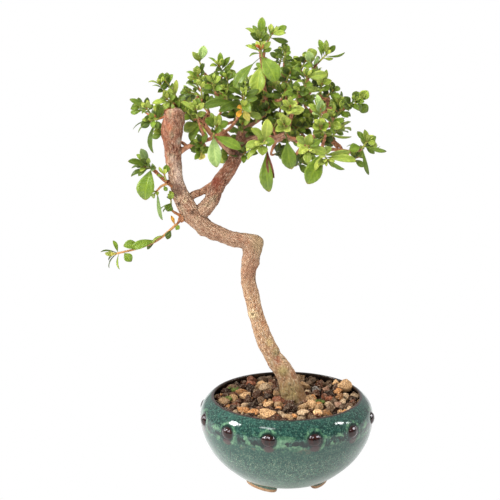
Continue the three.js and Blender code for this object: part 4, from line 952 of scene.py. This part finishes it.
        (0.3, 5, -54, 316, 7, 20),
    ]),
    ((26, -37, 309), [], (30, -44, 304), "bbmnb", [
        (0.5, 50, -44, 310, 6, 15), (0.8, 55, -47, 303, 7, 5), (0.9, 45, -46, 295, 4, 40),
        (0.5, 20, -48, 295, 5, 10), (0.7, 39, -41, 296, 4, 40), (0.3, 34, -48, 314, 7, 0),
        (1, 23, -50, 300, 6, 0), (0.05, 14, -50, 284, 15, 0), (0.6, 24, -51, 307, 6, 10),
    ]),
    ((-20, -34, 319), [], (-24, -48, 317), "bbmnbbbmnr", [
        (0.5, -38, -48, 315, 8, 10), (0.9, -24, -54, 309, 9, 0), (0.7, -14, -51, 320, 8, 0),
        (0.4, -20, -47, 338, 10, 5), (0.9, -27, -53, 326, 5, 0), (0.3, -33, -44, 330, 7, 15),
        (0.6, -37, -46, 304, 5, 20), (0.1, -19, -50, 277, 12, 10), (0.7, -38, -43, 311, 6, 20),
        (0.1, -15, -51, 289, 6, 30),
    ]),
    ((-4, -37, 325), [], (-6, -48, 334), "nbnbnbmd", [
        (0.8, -10, -46, 344, 5, 10), (0.8, -12, -51, 338, 6, 0), (1, -7, -52, 343, 6, 0),
        (0.9, 0, -51, 338, 7, 0), (0.6, -1, -53, 329, 7, 0), (0.6, -13, -52, 329, 7, 0),
        (0.1, 0, -52, 297, 13, 10), (0.1, 4, -42, 297, 10, 25),
    ]),
    ((-66, -17, 318), [], (-63, -26, 329), "mbmdmmmpb", [
        (0.7, -72, -26, 336, 8, 10), (0.9, -60, -26, 339, 6, 10), (0.8, -53, -28, 333, 7, 10),
        (0.5, -67, -30, 325, 6, 0), (0.5, -58, -32, 327, 6, 0), (0.05, -42, -28, 310, 9, 10),
        (0.1, -39, -20, 313, 4, 50), (0.03, -63, -32, 295, 12, 5), (0.9, -68, -20, 340, 4, 20),
    ]),
    ((-76, 0, 326), [], (-80, 3, 329), "bbmnb", [
        (0.7, -91, -1, 336, 7, 10), (0.4, -92, 0, 321, 10, 5), (0.1, -86, -2, 312, 8, 10),
        (0.2, -72, -1, 316, 4, 20), (0.9, -87, 8, 329, 4, 20),
    ]),
    ((-42, -26, 341), [], (-40, -29, 346), "yoyb", [
        (0.8, -35, -32, 342, 5, 0), (0.6, -45, -33, 338, 5, 0), (1, -38, -29, 349, 5, 10),
        (0.3, -24, -26, 336, 6, 20), (0.5, -35, -34, 335, 6, 10), (0.9, -45, -34, 346, 4, 0),
    ]),
    ((-119, -15, 290), [], (-122, -17, 294), "gdmd", [
        (0.9, -128, -16, 308, 7, 5), (0.6, -139, -19, 298, 6, 10), (0.8, -132, -14, 303, 5, 20),
        (0.7, -137, -13, 291, 4, 40), (0.3, -115, -21, 292, 7, 10), (0.1, -137, -19, 285, 5, 20),
        (0.15, -125, -25, 265, 16, 5), (1, -128, -24, 300, 5, 10),
    ]),
    ((-73, -4, 303), [], (-76, -5, 307), "ynyb", [
        (0.8, -78, -8, 297, 9, 5), (0.3, -57, -7, 294, 6, 15), (0.6, -83, -1, 305, 3, 50),
    ]),
    ((-103, -10, 255), [], (-103, -12, 262), "dmddm", [
        (0.7, -106, -16, 253, 8, 0), (0.6, -113, -8, 253, 3, 70), (0.2, -110, -17, 253, 3, 70),
        (1, -106, -9, 265, 5, 30),
    ]),
    ((-98, -7, 240), [(-115, -9, 226), (-132, -11, 219)], (-153, -12, 214), "mdbmdmodmydmbd", [
        (0.04, -96, -10, 236, 5, 15), (0.1, -107, -11, 227, 6, 10), (0.22, -120, -14, 224, 4, 40),
        (0.35, -138, -15, 220, 8, 5), (0.36, -125, -7, 217, 4, 10), (0.6, -145, -13, 222, 9, 10),
        (0.04, -103, -11, 248, 3, 10), (0.97, -165, -14, 217, 3, 55), (0.96, -154, -11, 226, 4, 15),
        (0.97, -157, -16, 214, 3, 10), (0.95, -159, -9, 208, 4, 75), (0.88, -138, -15, 208, 8, 5),
        (0.94, -149, -16, 201, 3, 55), (0.97, -159, -9, 201, 4, 60),
    ]),
    ((-18, 5, 354), [], (-14, 3, 358), "mbmdmbm", [
        (0.4, -20, -5, 351, 11, 5), (0.9, -11, -2, 362, 6, 10), (1, -6, -3, 358, 6, 10),
        (0.7, -9, -1, 349, 7, 0), (0.8, -19, 6, 363, 6, 20), (0.2, -8, 0, 342, 7, 15),
    ]),
    ((-106, -14, 277), [(-111, -15, 275)], (-115, -16, 271), "gm", [
        (0.95, -111, -17, 245, 4, 15), (0.3, -106, -16, 271, 4, 20),
    ]),
    ((-107, -16, 280.5), [], (-108, -17, 285), "mb", [
        (0.9, -106, -16, 294, 6, 10), (0.6, -115, -16, 285, 3, 20),
    ]),
]
# Base and top of the guessed shoots on the far side, whose leaves open in a spiral
BACK_SHOOTS = [
    ((-74, 62, 330), (-80, 69, 336)), ((-60, 44, 334), (-62, 50, 345)), ((-88, 42, 330), (-97, 46, 336)),
    ((-44, 60, 324), (-43, 70, 329)), ((-24, 54, 340), (-23, 60, 350)), ((-34, 34, 346), (-36, 39, 357)),
    ((-8, 44, 346), (-5, 50, 355)), ((24, 58, 332), (30, 65, 338)), ((14, 44, 340), (16, 48, 351)),
    ((38, 34, 330), (46, 39, 336)), ((2, 62, 320), (2, 72, 325)), ((-20, 30, 362), (-20, 36, 373)),
    ((20, 26, 356), (24, 31, 366)), ((40, 16, 316), (47, 21, 321)),
]

# Middles of the small side shoots that fill the crown. A scratch program found them, where the
# photograph has leaf and an earlier render had none, and their depths repeat short lists.
FILL_PLACES = [
    (-19, 2, 339), (-53, 14, 298), (-1, -6, 370), (-65, 22, 360), (9, 8, 323), (28, -12, 316),
    (-7, 28, 381), (-41, 0, 325), (-22, 2, 353), (13, 14, 345), (59, 22, 293), (-11, 8, 315),
    (-5, -12, 356), (-99, 28, 339), (-54, 0, 365), (-47, 2, 337), (-113, 14, 335), (-77, 22, 325),
    (9, 8, 291), (-123, -12, 291), (-35, 28, 311), (35, 0, 354), (12, 2, 379), (-73, 14, 342), (2, -6, 315),
    (-55, 22, 350), (-20, 8, 374), (53, -12, 347), (-82, 28, 360), (-11, 0, 329), (-39, 2, 301),
    (22, 14, 326), (-105, -6, 363), (0, 22, 332), (-111, 8, 319), (-76, -12, 311), (-9, 28, 297),
    (67, 0, 308), (-28, 2, 333), (-129, 14, 338), (-86, -6, 336), (22, 22, 356), (-66, -10, 362),
    (-16, 20, 334), (-24, 6, 348), (-11, 30, 312), (-98, -2, 342), (13, 12, 321), (-78, -10, 305),
    (-75, 20, 322), (2, 6, 367), (-40, 30, 311), (-55, -2, 354), (31, 12, 312), (44, -10, 340),
    (0, 20, 326), (-45, 6, 336), (32, 30, 340), (-111, -2, 335), (-34, 12, 336), (17, -10, 304),
    (40, 20, 320), (-11, 24, 312), (-22, 34, 340), (-75, 16, 323), (6, 24, 314), (-41, 34, 309),
    (-18, 16, 328), (27, 24, 310), (12, 34, 342), (-66, 16, 354), (-18, 24, 357), (-41, 34, 352),
    (29, 16, 341), (-5, 24, 341), (-54, 34, 339), (0, 16, 354), (-30, 24, 347), (-91, 34, 340),
]
GOLDEN_ANGLE = math.pi * (3 - math.sqrt(5))
CROWN_HEART = Vector((-42, 14, 300))


def spiral_leaves(base, top, number, count=5, length=13, breadth=5.5):
    """Leaves in a spiral, each a golden angle further round and more upright."""
    draw = seeded(500 + number)
    base, top = Vector(base), Vector(top)
    axis = (top - base).normalized()
    side = axis.cross(Vector((0, 0, 1))).normalized()
    rows = []
    for i in range(count):
        share = (i + 1) / count
        turn = i * GOLDEN_ANGLE + next(draw)
        opening = math.radians(85 - 50 * share)
        heading = side.copy()
        heading.rotate(Matrix.Rotation(turn, 3, axis))
        heading = heading * math.sin(opening) + axis * math.cos(opening)
        tip = base.lerp(top, share) + heading * length * (1.1 - 0.35 * share)
        rows.append((share, *tip, breadth * (0.9 + 0.3 * next(draw)), 30 * next(draw) - 15))
    return rows


shoots = list(SHOOTS)
for number, (base, top) in enumerate(BACK_SHOOTS):
    shoots.append((base, [], top, "mdmbm", spiral_leaves(base, top, number)))
for number, place in enumerate(FILL_PLACES):
    place = Vector(place)
    heading = (place - CROWN_HEART).normalized() + Vector((0, -0.3, 0.5))
    base, top = place - heading * 4, place + heading * 1
    leaves = spiral_leaves(base, top, 100 + number, 8, 11 + 0.6 * (number % 4), 5.2)
    shoots.append((tuple(base), [], tuple(top), ("dmdmbdm", "mdbmmdb", "ddmdmd")[number % 3], leaves))

sprouts = []
for points in [LIMB, *BOUGHS]:
    steps = 4 * (len(points) - 1)
    sprouts += [along(points, i / steps) for i in range(4, steps + 1)]
sprouts = np.array(sprouts)
wood_bm, bm = bm, bmesh.new()
TWIG_SPANS = 10
TWIG_SIDES = 8
layers = bm.verts.layers
grain_layer, thick_layer = layers.float_vector.new("grain"), layers.float.new("thick")
stain_layer = layers.float_color.new("stain")
for base, via, top, tints, leaves in shoots:
    base = np.array(base, float)
    heading = np.array([*via, top][0], float) - base
    heading /= np.linalg.norm(heading)
    cost = np.linalg.norm(sprouts[:, :3] - base, axis=1) + 0.5 * np.maximum(0, sprouts[:, 2] - base[2] + 8)
    start = sprouts[cost.argmin()]
    reach = float(np.linalg.norm(start[:3] - base))
    lead = start[:3] * 0.65 + base * 0.35 + (0, 0, 0.08 * reach)
    follow = base - heading * 0.35 * reach
    thin = min(start[3] * 0.85, TWIG_RADIUS["root"])
    line = []
    for i in range(TWIG_SPANS + 1):
        t = i / TWIG_SPANS
        place = start[:3] * (1 - t) ** 3 + 3 * lead * (1 - t) ** 2 * t
        place = place + 3 * follow * (1 - t) * t * t + base * t ** 3
        swell = 0.22 * (i % 3 == 2)
        line.append(np.array([*place, thin + (TWIG_RADIUS["tip"] - thin) * t + swell]))
    for i, vert in enumerate(tube(bm, line, TWIG_SIDES)):
        row = min(i // TWIG_SIDES, TWIG_SPANS)
        here = vert.co / MM - spot(*line[row][:3]) / MM
        vert[grain_layer] = Vector((here.x, here.y, row * reach / TWIG_SPANS))
        vert[thick_layer] = 1.0
        vert[stain_layer] = (0, 0, 0, 0)

bark, where = finish("azalea_bark", Roughness=0.85, Specular_IOR_Level=0.25)
grain_tone = where.node("ShaderNodeAttribute", {}, 1, attribute_name="grain")
thick_tone = where.node("ShaderNodeAttribute", {}, 2, attribute_name="thick")
stain_tone = where.node("ShaderNodeAttribute", {}, 0, attribute_name="stain")
stain_share = where.node("ShaderNodeAttribute", {}, 3, attribute_name="stain")
x, _, z = where.axes()
fibres = grain_tone.stretched(1, 1, 0.34).cloud(0.95, 4, 0.75)
flakes = grain_tone.stretched(1, 1, 0.6).cloud(2.2, 4, 0.7, 20)
blotch = grain_tone.stretched(1, 1, 0.6).cloud(9, 3, 0.6, 40)
speck = where.cloud(0.7, 2, 0.7, 60)
limb_share = (x + 0.9 * (z - 250)).rise(-66, -48) * z.rise(240, 262) * thick_tone.rise(1.2, 4.5)
colour = flakes.rise(0.36, 0.6).over(srgb(146, 102, 78), srgb(214, 176, 144))
low = flakes.rise(0.3, 0.64).over(srgb(158, 112, 78), srgb(209, 169, 129))
colour = (1 - z.rise(170, 230)).over(colour, low)
limb_colour = flakes.rise(0.36, 0.62).over(srgb(98, 50, 36), srgb(180, 126, 98))
colour = limb_share.over(colour, limb_colour)
colour = (blotch.rise(0.5, 0.64) * 0.55).over(colour, srgb(158, 98, 70))
colour = ((1 - blotch.rise(0.34, 0.46)) * 0.45).over(colour, srgb(160, 150, 116))
colour = ((1 - fibres.rise(0.36, 0.47)) * (0.3 + 0.35 * z.rise(190, 235))).over(colour, srgb(92, 54, 38))
colour = (fibres.rise(0.52, 0.62) * (0.75 - 0.35 * limb_share)).over(colour, srgb(236, 214, 188))
colour = (speck.rise(0.6, 0.68) * 0.7).over(colour, srgb(228, 208, 178))
colour = ((1 - speck.rise(0.32, 0.4)) * (0.3 + 0.35 * z.rise(190, 235))).over(colour, srgb(62, 36, 26))
cracks = grain_tone.stretched(1, 1, 0.42).cells(2.3)
scaly = z.rise(150, 215) * 0.16 + 0.1
colour = ((1 - cracks.rise(0.02, 0.2)) * scaly).over(colour, srgb(86, 50, 36))
# Painted highlight: the right side of the stub is painted paler, where the light falls on it.
painted_lit_side = (x + 5 * blotch).rise(-99, -91) * z.rise(262, 290) * (1 - limb_share)
colour = (painted_lit_side * speck.rise(0.3, 0.6) * 0.7).over(colour, srgb(218, 200, 186))
# Painted shade: the left edge of the stub is painted redder and darker, as its shaded side.
painted_shade_side = (1 - (x + 5 * blotch).rise(-106, -98)) * z.rise(272, 292)
colour = (painted_shade_side * flakes.rise(0.3, 0.6) * 0.5).over(colour, srgb(178, 98, 66))
colour = (stain_share * (0.7 + 0.5 * speck.rise(0.35, 0.6))).over(colour, stain_tone)
weathered = z.rise(165, 190) * (1 - z.rise(240, 262)) * flakes.rise(0.3, 0.5) * 0.45
colour = weathered.over(colour, srgb(146, 112, 88))
mossy = (1 - z.rise(84, 106)) * flakes.rise(0.3, 0.55) * 0.5
colour = mossy.over(colour, srgb(136, 122, 68))
damp = (x + 4 * blotch).rise(9, 14) * (1 - z.rise(80, 98)) * 0.5
colour = damp.over(colour, srgb(124, 76, 48))
young = 1 - thick_tone.rise(1.6, 4.5)
young_colour = flakes.rise(0.36, 0.62).over(srgb(116, 60, 34), srgb(190, 122, 74))
colour = (young * 0.85).over(colour, young_colour)
colour.feed("Base Color")
(0.8 * fibres + 0.7 * flakes + 0.35 * speck + 0.5 * cracks.rise(0, 0.3)).bump(0.0016).feed("Normal")
piece("tree_twigs", bm, [bark], "bark", "trunk")
piece("tree_wood", wood_bm, [bark], "bark", "trunk")


# Leafy shoots. Soft green stems with the small oval leaves of an evergreen azalea: leathery, a
# little folded along the midrib, glossy above and pale with a felt of fine hairs underneath.
LEAF_COLOURS = {
    "d": srgb(67, 84, 19), "m": srgb(98, 119, 36), "b": srgb(128, 144, 55), "n": srgb(151, 163, 70),
    "y": srgb(195, 182, 90), "p": srgb(134, 156, 92), "g": srgb(112, 132, 76), "o": srgb(208, 148, 47),
    "r": srgb(98, 50, 34), "c": srgb(150, 80, 42),
}
STEM_COLOUR = srgb(150, 150, 70)
WOODY_STEM = srgb(186, 132, 84)
BUD_COLOUR = srgb(150, 96, 56)
FRONT_FACING = Vector((0, -0.9, 0.45)).normalized()
BACK_FACING = Vector((0, 0.5, 0.85)).normalized()


def leaf(bm, layers, root, tip, width, roll, facing, tint, draw):
    """A blade from root to tip, in millimetres: a squashed sphere bent to the leaf's outline."""
    blade_layer, tint_layer = layers
    axis = tip - root
    length = axis.length
    axis.normalize()
    normal = (facing - axis * facing.dot(axis)).normalized()
    normal.rotate(Matrix.Rotation(math.radians(roll), 3, axis))
    across = axis.cross(normal)
    hang, twist, wave = 0.5 + 0.6 * next(draw), 0.5 * (next(draw) - 0.5), next(draw) * 6
    fold = 0.26 + 0.3 * next(draw)
    bright = 0.8 + 0.48 * next(draw)
    shade = (tint[0] * bright, tint[1] * bright, tint[2] * bright, 1)
    petiole = 0.3 if length > 30 else min(0.16, 1.6 / length)
    late, full = (1.55, 0.62) if length > 16 else (1.3 + 0.2 * next(draw), 0.7)
    for vert in bmesh.ops.create_uvsphere(bm, u_segments=10, v_segments=11, radius=1)["verts"]:
        share = 0.5 + 0.5 * vert.co.z
        thin = math.hypot(vert.co.x, vert.co.y) or 1
        u, w = vert.co.x / thin, vert.co.y / thin
        out = max(0, (share - petiole) / (1 - petiole))
        half = 0.53 * width * math.sin(math.pi * out ** late) ** full if 0 < out < 1 else 0
        half = max(half, 0.42 * math.sin(math.pi * min(share + 0.08, 1)) ** 0.5)
        turned = twist * share
        side = across * math.cos(turned) + normal * math.sin(turned)
        up = normal * math.cos(turned) - across * math.sin(turned)
        rise = 0.4 * share * (1 - share) * length * hang + fold * abs(u) * half
        rise += 0.05 * half * math.sin(wave + 9 * share) * u - 0.12 * length * max(0, share - 0.75) ** 1.5 * 4
        place = root + axis * (share * length) + side * (u * half) + up * (rise + w * 0.22)
        vert.co = spot(*place)
        vert[blade_layer] = Vector((u, share, w))
        vert[tint_layer] = shade


def plain(verts, layers, colour):
    """Vertices of a stem or bud, which have no blade, in one colour."""
    for vert in verts:
        vert[layers[0]] = Vector((0.5, 0.5, 0.5))
        vert[layers[1]] = colour


leaf_skin, where = finish("azalea_leaf", Roughness=0.42, IOR=1.45, Subsurface_Weight=0.0)
blade = where.node("ShaderNodeAttribute", {}, 1, attribute_name="blade")
tint = where.node("ShaderNodeAttribute", {}, 0, attribute_name="tint")
u, v, w = blade.axes()
veins = (v * 9 - abs(u) * 2.2).sum("FRACT", v * 9 - abs(u) * 2.2)
vein = veins.near(0.5, 0.04, 0.22) * abs(u).rise(0.05, 0.2)
rib = 1 - abs(u).rise(0.04, 0.14)
cloudy = where.cloud(3, 3, 0.6)
colour = cloudy.rise(0.35, 0.7).over(tint.tinted((0.72, 0.78, 0.66, 1)), tint.tinted((1.1, 1.06, 1.05, 1)))
colour = (vein * 0.3).over(colour, tint.tinted((0.7, 0.75, 0.6, 1)))
colour = (rib * 0.45).over(colour, tint.tinted((1.5, 1.35, 1.3, 1)))
# Painted highlight: a pale, bluish rim along each leaf's edge stands in for light caught along it.
colour = (abs(u).rise(0.7, 0.95) * 0.5).over(colour, tint.tinted((1.7, 1.5, 2.0, 1)))
colour = (v.rise(0.94, 1.0) * 0.6).over(colour, srgb(150, 120, 60))
colour = ((1 - w.rise(-0.5, 0.1)) * 0.55).over(colour, srgb(144, 160, 96))
colour.feed("Base Color")
(0.25 + 0.22 * cloudy + 0.25 * (1 - w.rise(-0.5, 0.1))).feed("Roughness")
((1 - vein) * 0.6 + (1 - rib) * 0.5 + 0.3 * where.cloud(0.7)).bump(0.0003).feed("Normal")

for number, (base, via, top, tints, leaves) in enumerate(shoots, 1):
    draw = seeded(900 + number)
    known = number <= len(SHOOTS) + len(BACK_SHOOTS)
    facing = BACK_FACING if len(SHOOTS) < number <= len(SHOOTS) + len(BACK_SHOOTS) else FRONT_FACING
    stem = [Vector(point) for point in (base, *via, top)]
    bm = bmesh.new()
    layers = (bm.verts.layers.float_vector.new("blade"), bm.verts.layers.float_color.new("tint"))
    line = [np.array([*place[:3], 1]) for place in smooth_line([tuple(p) for p in stem], 4)]
    for i, row in enumerate(line):
        row[3] = (1.25 if via else 0.95) - 0.35 * i / len(line)
    plain(tube(bm, line, 7), layers, WOODY_STEM if via else STEM_COLOUR)
    for i, (share, x, y, z, width, roll) in enumerate(leaves):
        share = max(0.03 if via else 0.15, min(0.95, share))
        root = Vector(along([tuple(p) for p in stem], share))
        tint_here = LEAF_COLOURS[tints[i % len(tints)]]
        leaf(bm, layers, root, Vector((x, y, z)), width, roll, facing, tint_here, draw)
    # A tuft of new leaves and a bud close the growing tip
    axis = (stem[-1] - stem[-2]).normalized()
    for i in range(4 if known else 2):
        turn = 2.4 * i + next(draw) * 2
        heading = Vector((math.cos(turn), math.sin(turn), 0.5))
        heading = (axis * (0.8 + 0.5 * next(draw)) + heading * 0.75).normalized()
        tip = stem[-1] + heading * (6 + 3.5 * next(draw))
        tint_here = LEAF_COLOURS["n" if tints[0] in "nbym" else "b"]
        leaf(bm, layers, stem[-1], tip, 2.8 + 1.2 * next(draw), 40 * next(draw) - 20, facing, tint_here, draw)
    bud = Matrix.Translation(spot(*(stem[-1] + axis))) @ axis.to_track_quat("Z", "Y").to_matrix().to_4x4()
    bud = bud @ Matrix.Diagonal((0.9 * MM, 0.9 * MM, 1.9 * MM, 1))
    bud = bmesh.ops.create_icosphere(bm, subdivisions=1, radius=1, matrix=bud)["verts"]
    plain(bud, layers, BUD_COLOUR)
    bmesh.ops.recalc_face_normals(bm, faces=bm.faces)
    piece(f"leaves_{number:02d}", bm, [leaf_skin], "leaf", *([f"shoot_{number:02d}"] if known else []))
